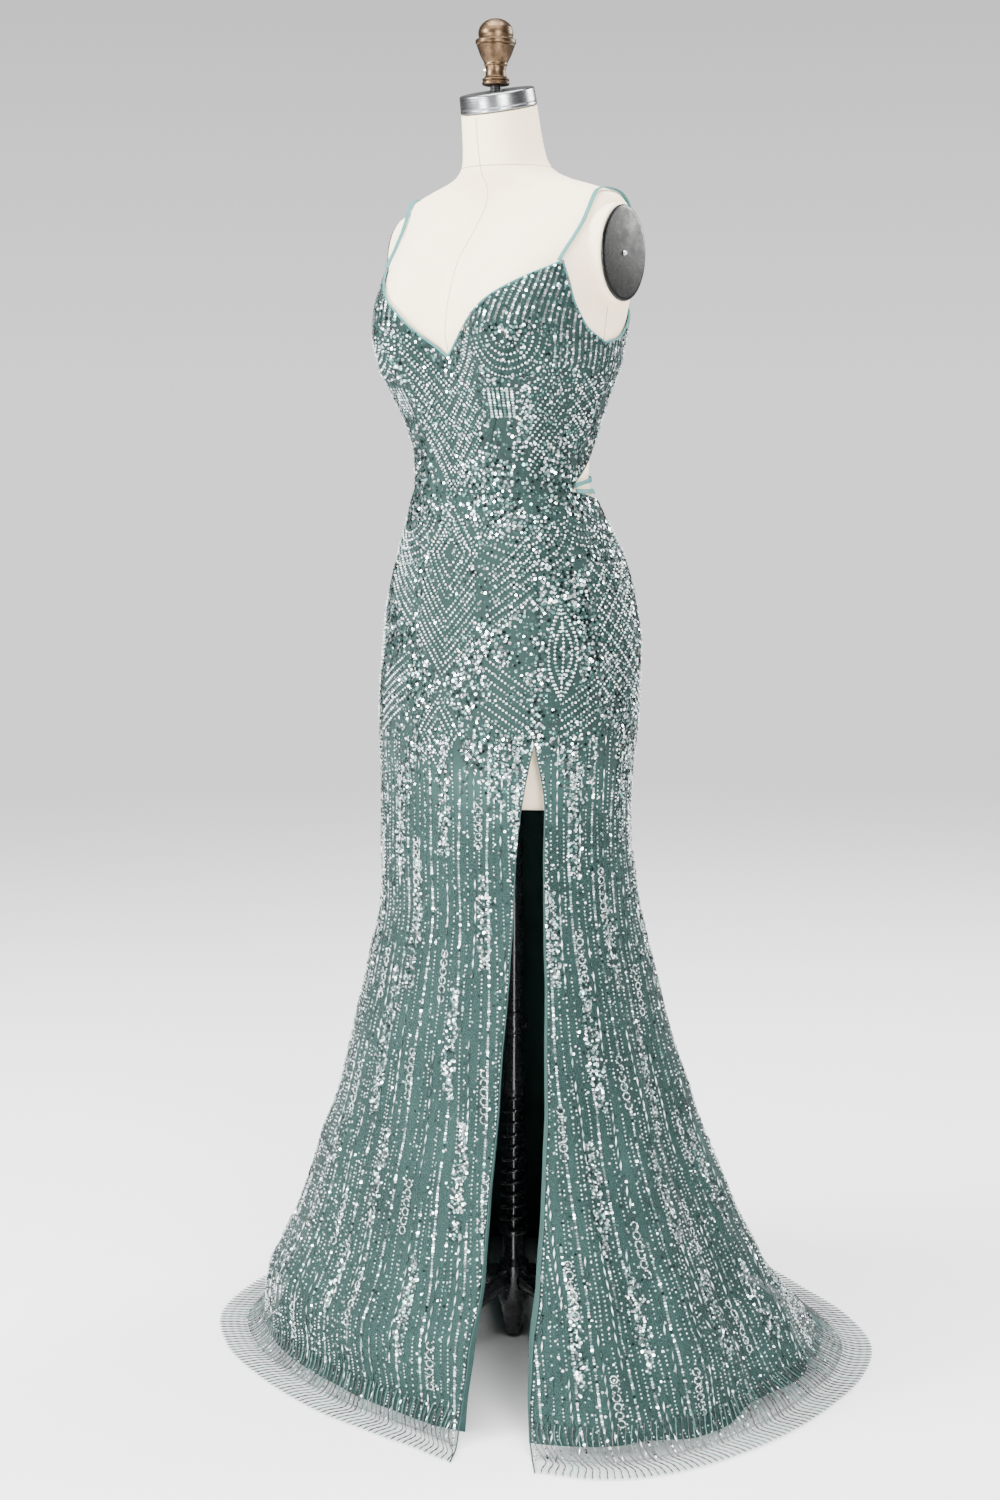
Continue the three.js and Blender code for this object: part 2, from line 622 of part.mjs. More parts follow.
// An upright oval disc whose face looks along X, from one x to another.
function ovalDisc(fromX, toX, halfWidth, halfHeight, segments) {
  const ring = (x) => {
    const points = [];
    for (let j = 0; j < segments; j += 1) {
      const turn = (2 * Math.PI * j) / segments;
      const y = ARM_PLATE.y + Math.cos(turn) * halfWidth;
      points.push(new THREE.Vector3(x, y, ARM_PLATE.z + Math.sin(turn) * halfHeight));
    }
    return points;
  };
  return loftGeometry([ring(fromX), ring(toX)]);
}

// The padded torso with its neck, and a short oval stub at each arm.
function makeTorso() {
  const segments = 40;
  const rings = FORM_SECTIONS.map((row) => {
    const ring = [];
    for (let j = 0; j < segments; j += 1) {
      ring.push(formPoint((360 * j) / segments, row.z, 0));
    }
    return ring;
  });
  let solid = toManifold(loftGeometry(rings));
  const stubEnd = ARM_PLATE.x - SEAM_GAP;
  const halfWidth = ARM_PLATE.halfWidth + ARM_STUB.border;
  const halfHeight = ARM_PLATE.halfHeight + ARM_STUB.border;
  [1, -1].forEach((side) => {
    const stub = ovalDisc(side * ARM_STUB.root, side * stubEnd, halfWidth, halfHeight, 24);
    solid = solid.add(toManifold(stub));
  });
  return fromManifold(solid);
}

// The steel plate that closes an arm stub, and the screw in its middle.
function makeArmPlate(side) {
  const from = side * ARM_PLATE.x;
  const to = side * (ARM_PLATE.x + ARM_PLATE.thickness);
  return ovalDisc(from, to, ARM_PLATE.halfWidth, ARM_PLATE.halfHeight, 28);
}

function makeArmScrew(side) {
  const { headRadius, footRadius, height } = ARM_SCREW;
  const geometry = new THREE.CylinderGeometry(headRadius, footRadius, height, 10);
  geometry.rotateZ(-side * Math.PI / 2);
  const x = side * (ARM_PLATE.x + ARM_PLATE.thickness + SEAM_GAP + height / 2);
  geometry.translate(x, ARM_PLATE.y, ARM_PLATE.z);
  return geometry;
}

function makeNeckCap() {
  const geometry = new THREE.CylinderGeometry(CAP_RADIUS - 1, CAP_RADIUS, CAP_HEIGHT, 36);
  geometry.translate(0, CAP_HEIGHT / 2 + CAP_GAP, 0);
  geometry.rotateX(Math.PI / 2 + radians(NECK_TILT));
  geometry.translate(0, CAP_BASE.y, CAP_BASE.z);
  return geometry;
}

// Where the top of the neck cap lies.
const capTop = {
  y: CAP_BASE.y - Math.sin(radians(NECK_TILT)) * (CAP_HEIGHT + CAP_GAP),
  z: CAP_BASE.z + Math.cos(radians(NECK_TILT)) * (CAP_HEIGHT + CAP_GAP),
};
const FINIAL_AXIS_Y = capTop.y - FINIAL_FORWARD;

// The black spindle stands on the leaning cap, so its foot leans and its top is level.
function makeSpindle() {
  const foot = capTop.z - Math.tan(radians(NECK_TILT)) * FINIAL_FORWARD + SEAM_GAP;
  return turnedGeometry([
    { z: foot, radius: SPINDLE_RADIUS, lean: NECK_TILT },
    { z: FINIAL_BASE - SEAM_GAP, radius: SPINDLE_RADIUS },
  ], 16, FINIAL_AXIS_Y);
}

// The turned brass finial from its foot ring to its dome.
function makeFinial() {
  const profile = [
    { z: 0, radius: 15.5 },
    { z: 2, radius: 17 },
    { z: 8, radius: 17 },
    { z: 10, radius: 14 },
    { z: 12, radius: FINIAL_WAIST },
    { z: 24, radius: FINIAL_WAIST },
    { z: 26, radius: 14.5 },
    { z: 37, radius: 19.5 },
    { z: 47, radius: 23.5 },
    { z: 50, radius: 25 },
    { z: 54, radius: 25 },
    { z: 56, radius: 21.5 },
    { z: 63, radius: 21.5 },
    { z: 71, radius: 19 },
    { z: 77, radius: 13 },
    { z: 79.5, radius: 6 },
  ];
  const rows = profile.map((row) => ({ z: row.z + FINIAL_BASE, radius: row.radius }));
  return turnedGeometry(rows, 20, FINIAL_AXIS_Y);
}

function makeFinialScrew() {
  const { radius, length, rise } = FINIAL_SCREW;
  const geometry = new THREE.CylinderGeometry(radius, radius, length, 10);
  geometry.rotateZ(Math.PI / 2);
  const x = -(FINIAL_WAIST + SEAM_GAP + length / 2);
  geometry.translate(x, FINIAL_AXIS_Y, FINIAL_BASE + rise);
  return geometry;
}

// A shoulder strap: a flat band laid over the form in planes that turn about the shoulder.
function makeStrap(side) {
  const steps = 20;
  const hub = new THREE.Vector3(0, STRAP_HUB.y, STRAP_HUB.z);
  const rings = [];
  for (let i = 0; i <= steps; i += 1) {
    const t = i / steps;
    const swing = radians(mix(STRAP_ROUTE.frontSwing, STRAP_ROUTE.backSwing, t));
    const x = readTable(STRAP_ROUTE.sideways, 't', 'x', t);
    const outwards = new THREE.Vector3(0, -Math.cos(swing), Math.sin(swing));
    const touch = Math.max(...[-1, 0, 1].map((edge) => (
      formReach(hub, x + (edge * STRAP_WIDTH) / 2, outwards))));
    const ring = [
      [-STRAP_WIDTH / 2, CLEARANCE],
      [STRAP_WIDTH / 2, CLEARANCE],
      [STRAP_WIDTH / 2, CLEARANCE + CLOTH],
      [-STRAP_WIDTH / 2, CLEARANCE + CLOTH],
    ].map(([sideways, out]) => {
      const point = hub.clone().addScaledVector(outwards, touch + out);
      point.x = side * (x + sideways);
      return point;
    });
    rings.push(ring);
  }
  return loftGeometry(rings);
}

// Whether a point lies inside the form.
function insideForm(point) {
  const section = formSection(point.z, 0);
  if (Math.abs(point.x) >= section.halfWidth) {
    return false;
  }
  const depth = point.y - section.centreY;
  if (depth < 0) {
    return -depth < frontDepth(section, point.x);
  }
  const reach = 1 - (Math.abs(point.x) / section.halfWidth) ** section.power;
  return depth < section.back * reach ** (1 / section.power);
}

// The distance from a hub at which a ray in one direction leaves the form.
function formReach(hub, x, outwards) {
  let near = 0;
  let far = 200;
  for (let pass = 0; pass < 30; pass += 1) {
    const middle = (near + far) / 2;
    const point = hub.clone().addScaledVector(outwards, middle);
    point.x = x;
    if (insideForm(point)) {
      near = middle;
    } else {
      far = middle;
    }
  }
  return near;
}

// A waist tie: a flat band from side seam to side seam across the open back.
function makeTie(rise, sag) {
  const steps = 18;
  const surface = (column, row) => {
    const t = row / steps;
    const angle = mix(TIE_START, 360 - TIE_START, t);
    const spread = Math.sin(Math.PI * t) ** 0.6;
    const z = TIE_HEIGHT + rise + sag * spread + (0.5 - column) * TIE_WIDTH;
    return formPoint(angle, z, TIE_CLEARANCE + CLOTH);
  };
  const outer = [];
  const inner = [];
  for (let i = 0; i <= steps; i += 1) {
    outer.push([surface(0, i), surface(1, i)]);
    inner.push([0, 1].map((column) => {
      const point = surface(column, i);
      const middle = new THREE.Vector3(0, formSection(point.z, 0).centreY, point.z);
      const inwards = middle.sub(point).normalize();
      return point.clone().addScaledVector(inwards, CLOTH);
    }));
  }
  return wallGeometry(outer, inner);
}

// The round tube between the clamp and the torso.
function makePole() {
  return turnedGeometry([
    { z: CLAMP.z + SEAM_GAP, radius: POLE_RADIUS },
    { z: FORM_BOTTOM - SEAM_GAP, radius: POLE_RADIUS },
  ], 20, 0);
}

function makeClampCollar() {
  return turnedGeometry([
    { z: CLAMP.z - CLAMP.height, radius: CLAMP.radius - 2 },
    { z: CLAMP.z - CLAMP.height + 4, radius: CLAMP.radius },
    { z: CLAMP.z - 4, radius: CLAMP.radius },
    { z: CLAMP.z, radius: CLAMP.radius - 2 },
  ], 20, 0);
}

// The clamp's thumb screw: a short stem with a round knob, turned towards the slit.
function makeClampHandle() {
  const stem = 5;
  const knob = 4.5;
  const profile = [
    { z: 0, radius: 3 },
    { z: stem, radius: 3 },
    { z: stem + 0.2 * knob, radius: 0.75 * knob },
    { z: stem + 0.9 * knob, radius: knob },
    { z: stem + 1.6 * knob, radius: 0.75 * knob },
    { z: stem + 1.9 * knob, radius: 0.3 * knob },
  ];
  const geometry = turnedGeometry(profile, 12, 0);
  geometry.rotateY(Math.PI / 2);
  geometry.translate(CLAMP.radius + SEAM_GAP, 0, 0);
  geometry.rotateZ(radians(CLAMP.handleTurn));
  geometry.translate(0, 0, CLAMP.z - CLAMP.height / 2);
  return geometry;
}

function makeBellSocket() {
  return turnedGeometry([
    { z: SPRING.top + SEAM_GAP, radius: 15.5 },
    { z: SPRING.top + 8, radius: 15.5 },
    { z: SPRING.top + 40, radius: 13 },
    { z: CLAMP.z - CLAMP.height - SEAM_GAP, radius: 11 },
  ], 20, 0);
}

// The open coil spring as one bar of four sides wound round the stand's tube.
function makeSpring() {
  const stepsPerTurn = 9;
  const points = [];
  const steps = SPRING.turns * stepsPerTurn;
  const bottom = SPRING.bottom + SPRING.wire + SEAM_GAP;
  const top = SPRING.top - SPRING.wire - SEAM_GAP;
  for (let i = 0; i <= steps; i += 1) {
    const turn = (2 * Math.PI * i) / stepsPerTurn;
    const radius = mix(SPRING.lowRadius, SPRING.highRadius, i / steps);
    const z = mix(bottom, top, i / steps);
    points.push(new THREE.Vector3(Math.cos(turn) * radius, Math.sin(turn) * radius, z));
  }
  const rings = points.map((point, i) => {
    const ahead = points[Math.min(i + 1, steps)].clone().sub(points[Math.max(i - 1, 0)]).normalize();
    const outwards = new THREE.Vector3(point.x, point.y, 0).normalize();
    const up = new THREE.Vector3().crossVectors(outwards, ahead).normalize();
    const ring = [];
    for (let j = 0; j < 4; j += 1) {
      const turn = (Math.PI * j) / 2;
      const spot = point.clone();
      spot.addScaledVector(outwards, Math.cos(turn) * SPRING.wire);
      spot.addScaledVector(up, Math.sin(turn) * SPRING.wire);
      ring.push(spot);
    }
    return ring;
  });
  return loftGeometry(rings);
}

// The tube inside the spring, with the collar that the spring stands on and the hub of the legs.
function makeHub() {
  return turnedGeometry([
    { z: 6, radius: 11 },
    { z: 26, radius: 14 },
    { z: 40, radius: 16 },
    { z: 56, radius: HUB_RADIUS },
    { z: 104, radius: HUB_RADIUS },
    { z: 112, radius: 14 },
    { z: SPRING.bottom - 6, radius: 14 },
    { z: SPRING.bottom - 5, radius: 20.5 },
    { z: SPRING.bottom, radius: 20.5 },
    { z: SPRING.bottom + 1, radius: 9 },
    { z: SPRING.top, radius: 9 },
  ], 20, 0);
}

// One cast leg, bowed from the hub out to a flat round foot.
function makeLeg(turn) {
  const path = [
    { out: HUB_RADIUS + 0.9, z: 84, halfWidth: 9, halfHeight: 15 },
    { out: 52, z: 80, halfWidth: 8, halfHeight: 11 },
    { out: 95, z: 66, halfWidth: 7.5, halfHeight: 9 },
    { out: 140, z: 44, halfWidth: 7, halfHeight: 8 },
    { out: 176, z: 24, halfWidth: 8, halfHeight: 8 },
    { out: LEG_REACH - 12, z: 12, halfWidth: 10, halfHeight: 8 },
  ];
  const rings = path.map((row) => {
    const ring = [];
    for (let j = 0; j < 6; j += 1) {
      const around = radians(60 * j);
      const y = Math.cos(around) * row.halfWidth;
      ring.push(new THREE.Vector3(row.out, y, row.z + Math.sin(around) * row.halfHeight));
    }
    return ring;
  });
  const foot = new THREE.CylinderGeometry(FOOT.topRadius, FOOT.radius, FOOT.height, 12);
  foot.rotateX(Math.PI / 2);
  foot.translate(LEG_REACH - 4, 0, FOOT.height / 2);
  const joined = fromManifold(toManifold(loftGeometry(rings)).add(toManifold(foot)));
  joined.rotateZ(radians(turn));
  return joined;
}

const model = new THREE.Group();
const stand = new THREE.Group();
stand.position.y = POLE_Y;
model.add(stand);

function addPiece(name, geometry, colour, roughness, metalness, group = model) {
  const material = new THREE.MeshStandardMaterial({ color: colour, roughness, metalness });
  const mesh = new THREE.Mesh(geometry, material);
  mesh.name = name;
  group.add(mesh);
}

const addTulle = (name, geometry) => addPiece(name, geometry, COLOURS.beadedTulle, 0.45, 0.1);
const addLining = (name, geometry) => addPiece(name, geometry, COLOURS.lining, 0.6, 0);
const addSatin = (name, geometry) => addPiece(name, geometry, COLOURS.satin, 0.35, 0);
const addIron = (name, geometry) => addPiece(name, geometry, COLOURS.castIron, 0.5, 0.8, stand);

// The gown
const mirrorSeam = (seam) => (z) => -seam(z);
const neckline = edgeOf(NECKLINE);
const armhole = edgeOf(ARMHOLE);
const waistEdge = () => WAIST_SEAM;
addTulle('bodice_centre_front',
  bodicePanel(mirrorSeam(princess), princess, neckline, waistEdge, 22, 9));
addTulle('bodice_side_front_left',
  bodicePanel(princess, fixedSeam(SIDE_SEAM), armhole, edgeOf(SIDE_HEM), 9, 9));
addTulle('bodice_side_front_right',
  bodicePanel(fixedSeam(-SIDE_SEAM), mirrorSeam(princess), armhole, edgeOf(SIDE_HEM), 9, 9));
addTulle('bodice_back',
  bodicePanel(fixedSeam(SIDE_SEAM), fixedSeam(360 - SIDE_SEAM), backEdgeOf(BACK_NECK),
    backEdgeOf(BACK_HEM), 22, 5));
addTulle('skirt_front_right', skirtPanel(fixedSeam(-SIDE_SEAM), slitRight, 25));
addTulle('skirt_front_left', skirtPanel(slitLeft, fixedSeam(SIDE_SEAM), 8));
addTulle('skirt_back_left', skirtPanel(fixedSeam(SIDE_SEAM), fixedSeam(180), 16));
addTulle('skirt_back_right', skirtPanel(fixedSeam(-180), fixedSeam(-SIDE_SEAM), 16));
addLining('lining_front_right', liningPanel(fixedSeam(-SIDE_SEAM), slitRight, 20));
addLining('lining_front_left', liningPanel(slitLeft, fixedSeam(SIDE_SEAM), 6));
addLining('lining_back', liningPanel(fixedSeam(SIDE_SEAM), fixedSeam(360 - SIDE_SEAM), 24));
addSatin('strap_left', makeStrap(1));
addSatin('strap_right', makeStrap(-1));
addSatin('waist_tie_upper', makeTie(TIE_WIDTH / 2 + SEAM_GAP / 2, 10));
addSatin('waist_tie_lower', makeTie(-TIE_WIDTH / 2 - SEAM_GAP / 2, -3));

// The dress form and its stand
addPiece('form_torso', makeTorso(), COLOURS.linen, 0.85, 0);
addPiece('neck_cap', makeNeckCap(), COLOURS.brushedSteel, 0.3, 1);
addPiece('finial_spindle', makeSpindle(), COLOURS.castIron, 0.5, 0.6);
addPiece('finial', makeFinial(), COLOURS.brass, 0.45, 0.8);
addPiece('finial_screw', makeFinialScrew(), COLOURS.brushedSteel, 0.3, 1);
addPiece('arm_plate_left', makeArmPlate(1), COLOURS.darkSteel, 0.4, 0.9);
addPiece('arm_plate_right', makeArmPlate(-1), COLOURS.darkSteel, 0.4, 0.9);
addPiece('arm_screw_left', makeArmScrew(1), COLOURS.brushedSteel, 0.3, 1);
addPiece('arm_screw_right', makeArmScrew(-1), COLOURS.brushedSteel, 0.3, 1);
addIron('pole', makePole());
addIron('clamp_collar', makeClampCollar());
addIron('clamp_handle', makeClampHandle());
addIron('bell_socket', makeBellSocket());
addIron('spring', makeSpring());
addIron('base_hub', makeHub());
for (let i = 0; i < LEG_COUNT; i += 1) {
  addIron(`base_leg_${i + 1}`, makeLeg(LEG_TURN + (360 / LEG_COUNT) * i));
}

// The origin is the middle of the footprint, on the floor.
const bounds = new THREE.Box3().setFromObject(model);
const centre = bounds.getCenter(new THREE.Vector3());
model.position.set(-centre.x, -centre.y, -bounds.min.z);

export default model;
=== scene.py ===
"""A beaded evening gown on a limbless dress form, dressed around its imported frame.

Tables and functions work in millimetres round the axis of the form: the floor is at z = 0, the front
of the gown faces -Y and its wearer's left is at +X. An angle on the cloth is in degrees from the
front, positive towards +X. make_mesh turns these into metres in the row frame.
"""

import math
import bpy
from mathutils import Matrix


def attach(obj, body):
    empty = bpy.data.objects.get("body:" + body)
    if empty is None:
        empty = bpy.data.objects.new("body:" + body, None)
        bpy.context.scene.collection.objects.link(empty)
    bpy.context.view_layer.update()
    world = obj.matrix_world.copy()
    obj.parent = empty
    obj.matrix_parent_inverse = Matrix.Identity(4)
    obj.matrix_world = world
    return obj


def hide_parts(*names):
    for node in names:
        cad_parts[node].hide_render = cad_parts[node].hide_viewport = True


bl_info = {
    "name": "Beaded evening gown",
    "version": (1, 0, 0),
    "blender": (4, 5, 0),
    "location": "3D View > Sidebar > Gown",
    "description": "Builds a beaded evening gown, its dress form and its stand",
    "category": "Add Mesh",
}

import bpy
import numpy as np
from bpy.props import FloatProperty, FloatVectorProperty, IntProperty, PointerProperty
from mathutils import Matrix, Vector

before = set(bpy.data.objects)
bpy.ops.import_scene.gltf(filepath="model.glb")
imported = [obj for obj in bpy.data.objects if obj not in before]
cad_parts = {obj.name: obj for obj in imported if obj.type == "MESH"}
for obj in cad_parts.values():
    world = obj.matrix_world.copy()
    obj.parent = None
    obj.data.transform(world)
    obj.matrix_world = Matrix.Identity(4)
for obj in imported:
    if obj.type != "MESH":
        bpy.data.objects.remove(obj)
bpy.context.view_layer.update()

AXIS = np.array([-20.952, -58.905, 0.0])  # the form's axis in the row frame, in millimetres
SEED = 11

# Sizes shared with the solids
CLOTH = 3.3          # outside of the gown off the form
HIP = 943
SLIT_TOP = 836
LINING_TOP = 780
LINING_FOOT = 0.2
LINING_HEM_INSET = 68
STRAP_ANGLE = 56
CUP_EASE = 1.07
BUST_APART = 88
BUST_SPREAD = 62
FORM_BOTTOM = 745
NECK_TILT = 13
NECK_SEAM = 1531
CAP_BASE = (-24.5, 1601)
CAP_RADIUS = 47.5
PLATE = {"x": 167, "y": 4, "z": 1423.5, "half_width": 46, "half_height": 57.5, "thickness": 3}
FINIAL_BASE = 1629
FINIAL_Y = -31.1
POLE_Y = 7
CLAMP_Z = 452
SPRING = {"bottom": 153, "top": 338, "low": 17.5, "high": 12.5, "wire": 2.0, "turns": 11}
HUB_RADIUS = 20
LEG_REACH = 205
LEG_TURN = -16
CORNER_POINTS = 5    # points of each rounded corner of a turned part, and how far it is cut back
CORNER_RADIUS = 0.9
EDGE_SINK = 0.5      # how deep a rolled edge lies in the cloth
METAL_GRAIN = 0.0003
HEM_COVER = 0.24     # how much the net hides where nothing lies under it
HEM_TOOTH = 8.6      # pitch of the hem's threads and of the teeth of its edge


# The camera, in metres, and the picture it fits, in its own pixels
CAMERA_AWAY, CAMERA_UP, CAMERA_ASIDE = 2.88, 1.248, 0.01407
PICTURE_TALL, HORIZON_ROW, LENS_PIXELS = 1500, 400, 2252
FAR_GLOW = 1.3       # brightness at which the floor and the wall meet, far off


def table(columns, rows):
    """A table as a dictionary from each column's name to its values."""
    return dict(zip(columns.split(), np.array(rows, float).T))


FORM = table("z half_width front back centre_y power cups lean", [
    (745, 150, 118, 110, -2, 2.15, 0, 0),
    (800, 160, 124, 116, -2, 2.15, 0, 0),
    (870, 168, 128, 124, -2, 2.15, 0, 0),
    (943, 172, 130, 131, 0, 2.15, 0, 0),
    (1008, 162, 122, 127, -2, 2.15, 0, 0),
    (1046, 151, 116, 122, -3, 2.15, 0, 0),
    (1084, 136, 109, 104, -6, 2.15, 0, 0),
    (1122, 121, 101, 92, -12, 2.15, 0, 0),
    (1148, 112, 98, 88, -14, 2.15, 0, 0),
    (1179, 113, 97, 92, -15, 2.15, 0, 0),
    (1217, 122, 102, 98, -15, 2.2, 2, 0),
    (1254, 134, 106, 104, -14, 2.25, 15, 0),
    (1292, 146, 100, 112, -11, 2.3, 42, 0),
    (1329, 151, 109, 120, -10, 2.3, 45, 0),
    (1362, 153, 110, 122, -6, 2.4, 40, 0),
    (1390, 155, 108, 118, -2, 2.5, 28, 0),
    (1415, 156, 102, 112, 0, 2.6, 15, 0),
    (1440, 157, 87, 103, 3, 2.6, 5, 0),
    (1462, 159, 72, 91, 5, 2.5, 0, 0),
    (1480, 160, 60, 77, 6, 2.4, 0, 0),
    (1493, 154, 52, 66, 4, 2.3, 0, 0),
    (1502, 136, 49, 59, 2, 2.2, 0, 0),
    (1510, 110, 48, 54, -2, 2.1, 0, 0),
    (1518, 82, 49, 51, -6, 2.05, 0, 2),
    (1527, 64, 50, 49, -10, 2, 0, 4),
    (1540, 54, 50, 49, -13, 2, 0, 6),
    (1560, 50, 49, 48, -17, 2, 0, 9),
    (1600.6, 46.5, 46.5, 46.5, -24.5, 2, 0, 13),
])

SKIRT = table("z half_width front back centre_x centre_y", [
    (0, 432, 345, 432, 12, 10),
    (45, 392, 322, 345, 11, 9),
    (80, 364, 300, 310, 10, 8),
    (122, 338, 277, 276, 8, 6),
    (164, 317, 258, 260, 8, 7),
    (206, 297, 242, 242, 6, 5),
    (248, 280, 229, 228, 5, 4),
    (289, 265, 214, 217, 3, 1),
    (331, 247, 200, 203, 2, 2),
    (372, 236, 190, 193, 1, 2),
    (413, 224, 180, 182, 0, 0),
    (454, 213, 172, 171, 0, -1),
    (494, 202, 164, 164, 0, 0),
    (535, 193, 156, 155, 0, -1),
    (575, 182, 149, 148, 0, -1),
    (615, 176, 143, 139, 0, -3),
    (655, 174, 141, 132, 0, -6),
    (695, 172, 140, 121, 0, -8),
    (735, 171, 139, 121, 0, -8),
    (774, 172, 140, 124, 0, -7),
    (813, 174, 142, 128, 0, -6),
    (866, 176, 141, 135, 0, -4),
    (943, 175.3, 133.3, 134.3, 0, 0),
])

HEM = table("angle reach", [
    (-180, 455), (-150, 441), (-120, 425), (-92, 410), (-66, 408), (-48, 382), (-29, 350),
    (-14, 338), (0, 336), (15, 347), (29, 381), (42, 397), (52, 426), (61, 439), (85, 447),
    (99, 457), (113, 475), (123, 483), (135, 470), (153, 446), (180, 455),
])

# The skirt near the floor, by the way down the cloth: below 125 mm the cloth's own length counts on
# through zero, and the height, the share of the hem's outline and the inset from it follow.
HEM_RUN = table("down z share inset", [
    (-125, 125, 0, 0), (-80, 82, 0.15, 110), (-38, 45, 0.55, 88), (0, 16, 0.92, 58),
    (33, 1.6, 1, 30), (63, 1.6, 1, 0),
])

SLIT = table("z right left", [
    (0, 18.5, 32.5), (120, 21, 34.6), (290, 24.5, 40.5), (440, 28, 44.5), (615, 33, 47.5),
    (745, 37.5, 49), (836, 43, 43),
])

# Broad folds of the skirt: where each lies, its width and depth and the height where it starts.
FOLDS = table("angle width depth top", [
    (-165, 9, 12, 640), (-146, 7, -10, 600), (-124, 9, 13, 700), (-104, 7, -11, 640),
    (-80, 9, 10, 600), (-60, 7, -9, 520), (-38, 9, 7, 480), (-16, 8, -6, 460), (6, 9, 6, 440),
    (60, 6, -9, 520), (74, 7, 9, 640), (92, 7, -14, 720), (110, 8, 13, 700), (130, 7, -11, 620),
    (152, 9, 12, 660), (174, 7, -9, 600),
])
FOLD_FULL = 90

# Soft creases on top of the folds: each is a trough or a ridge along a line that leans by some degrees
# from its top to its bottom.
CREASES = table("angle lean width depth top bottom", [
    (-172, 4, 4.0, 3.5, 520, 60), (-156, -3, 3.2, -3.8, 470, 40), (-135, 3, 3.6, 4.1, 560, 50),
    (-113, -4, 3.4, -4.3, 430, 40), (-92, 5, 3.0, 3.2, 500, 70), (-70, -3, 3.2, -3.2, 380, 40),
    (-49, 3, 3.6, 2.6, 420, 60), (-27, -2, 3.0, -2.3, 330, 40), (-5, 3, 3.4, 2.3, 360, 50),
    (15, -2, 2.6, -1.7, 260, 40), (53, 3, 2.4, 2.3, 420, 60), (67, 4, 3.0, -3.8, 480, 40),
    (83, 5, 2.8, 3.8, 560, 50), (101, -4, 3.2, -4.1, 520, 40), (121, 3, 3.4, 3.8, 470, 50),
    (141, -5, 3.2, -3.5, 540, 60), (163, 3, 3.6, 3.8, 430, 40),
])

# Faint drag lines of the close part of the skirt and of the bodice, as the same rows.
DRAG = table("angle rise height width depth", [
    (62, 0.30, 905, 6, 0.7), (74, 0.22, 868, 7, -0.7), (-58, -0.26, 898, 7, 0.7),
    (-74, -0.2, 858, 6, -0.6), (118, 0.2, 1010, 7, 0.8), (-118, -0.24, 1016, 7, 0.7),
    (150, 0.15, 985, 6, -0.8), (-150, -0.18, 992, 7, -0.7), (66, 0.5, 1162, 5, -0.7),
    (-66, -0.5, 1166, 5, -0.7), (84, 0.3, 1192, 5, 0.7), (-84, -0.3, 1190, 5, 0.7),
])

LINING = table("z inside", [
    (2, 66), (30, 56), (82, 44), (175, 31), (289, 21), (413, 15), (540, 10), (662, 6), (722, 4.5),
    (780, 2.3),
])

NECKLINE = table("angle z", [(0, 1300), (4, 1313), (10, 1328), (22, 1361), (38, 1391), (56, 1412)])
ARMHOLE = table("angle z", [(56, 1412), (64, 1386), (71, 1358), (79, 1332), (90, 1317)])
BACK_NECK = table("angle z", [(90, 1317), (103, 1324), (120, 1346), (142, 1366), (160, 1356),
                              (180, 1350)])
SIDE_HEM = table("angle z", [(20, 1136), (80, 1136), (84, 1139), (87, 1146.6), (90, 1152)])
BACK_HEM = table("angle z", [(90, 1152), (105, 1174), (120, 1198), (150, 1230), (180, 1243)])
SKIRT_TOP = table("angle z", [(0, 1136), (80, 1136), (88, 1134), (120, 1123), (180, 1114)])
PRINCESS = table("z angle", [(1130, 21), (1180, 24), (1240, 30), (1300, 40), (1345, 47),
                             (1385, 53), (1412, 56)])


def read(rows, key, column, at):
    """A column at any value of its key: a cubic between two rows whose slope at each row is the
    harmonic mean of the slopes on its two sides, so that it never overshoots the rows."""
    keys, values = rows[key], rows[column]
    at = np.clip(at, keys[0], keys[-1])
    span = np.diff(keys)
    slope = np.diff(values) / span
    before, after = slope[:-1], slope[1:]
    same = before * after > 0
    middle = np.where(same, 2 * before * after / np.where(same, before + after, 1), 0)
    tangent = np.concatenate([slope[:1], middle, slope[-1:]])
    i = np.clip(np.searchsorted(keys, at, side="left") - 1, 0, len(span) - 1)
    t = (at - keys[i]) / span[i]
    start = values[i] * (1 + 2 * t) * (1 - t) ** 2 + t * (1 - t) ** 2 * span[i] * tangent[i]
    end = values[i + 1] * t * t * (3 - 2 * t) + t * t * (t - 1) * span[i] * tangent[i + 1]
    return start + end


def ease(t):
    """Runs from 0 to 1 with level ends: three t squared less two t cubed."""
    t = np.clip(t, 0, 1)
    return t * t * (3 - 2 * t)


def turn_from(angle, other):
    """The signed turn in degrees from one angle to another, from -180 to 180."""
    return (angle - other + 540) % 360 - 180


def cup_bells(x):
    """Two bells across the bust, one over each cup."""
    return sum(np.exp(-((x - side * BUST_APART) / BUST_SPREAD) ** 2) for side in (1, -1))


def oval_point(angle, z, half_width, front, back, centre_x, centre_y, power, cups, lean):
    """A point of a rounded oval: x is the half width times sine to the power 2/p, y the front or back
    depth times cosine to the same power, with two bell-shaped cups added in front, and the section
    leans forwards by a tangent."""
    across, ahead = np.sin(np.radians(angle)), np.cos(np.radians(angle))
    x = half_width * np.sign(across) * np.abs(across) ** (2 / power)
    bell = cup_bells(x)
    depth = np.abs(ahead) ** (2 / power)
    ahead_depth = front * depth + cups * bell * ease(np.abs(ahead) / 0.45)
    y = np.where(ahead > 0, -ahead_depth, back * depth)
    return np.stack([centre_x + x, centre_y + y, z + np.tan(np.radians(lean)) * y], -1)


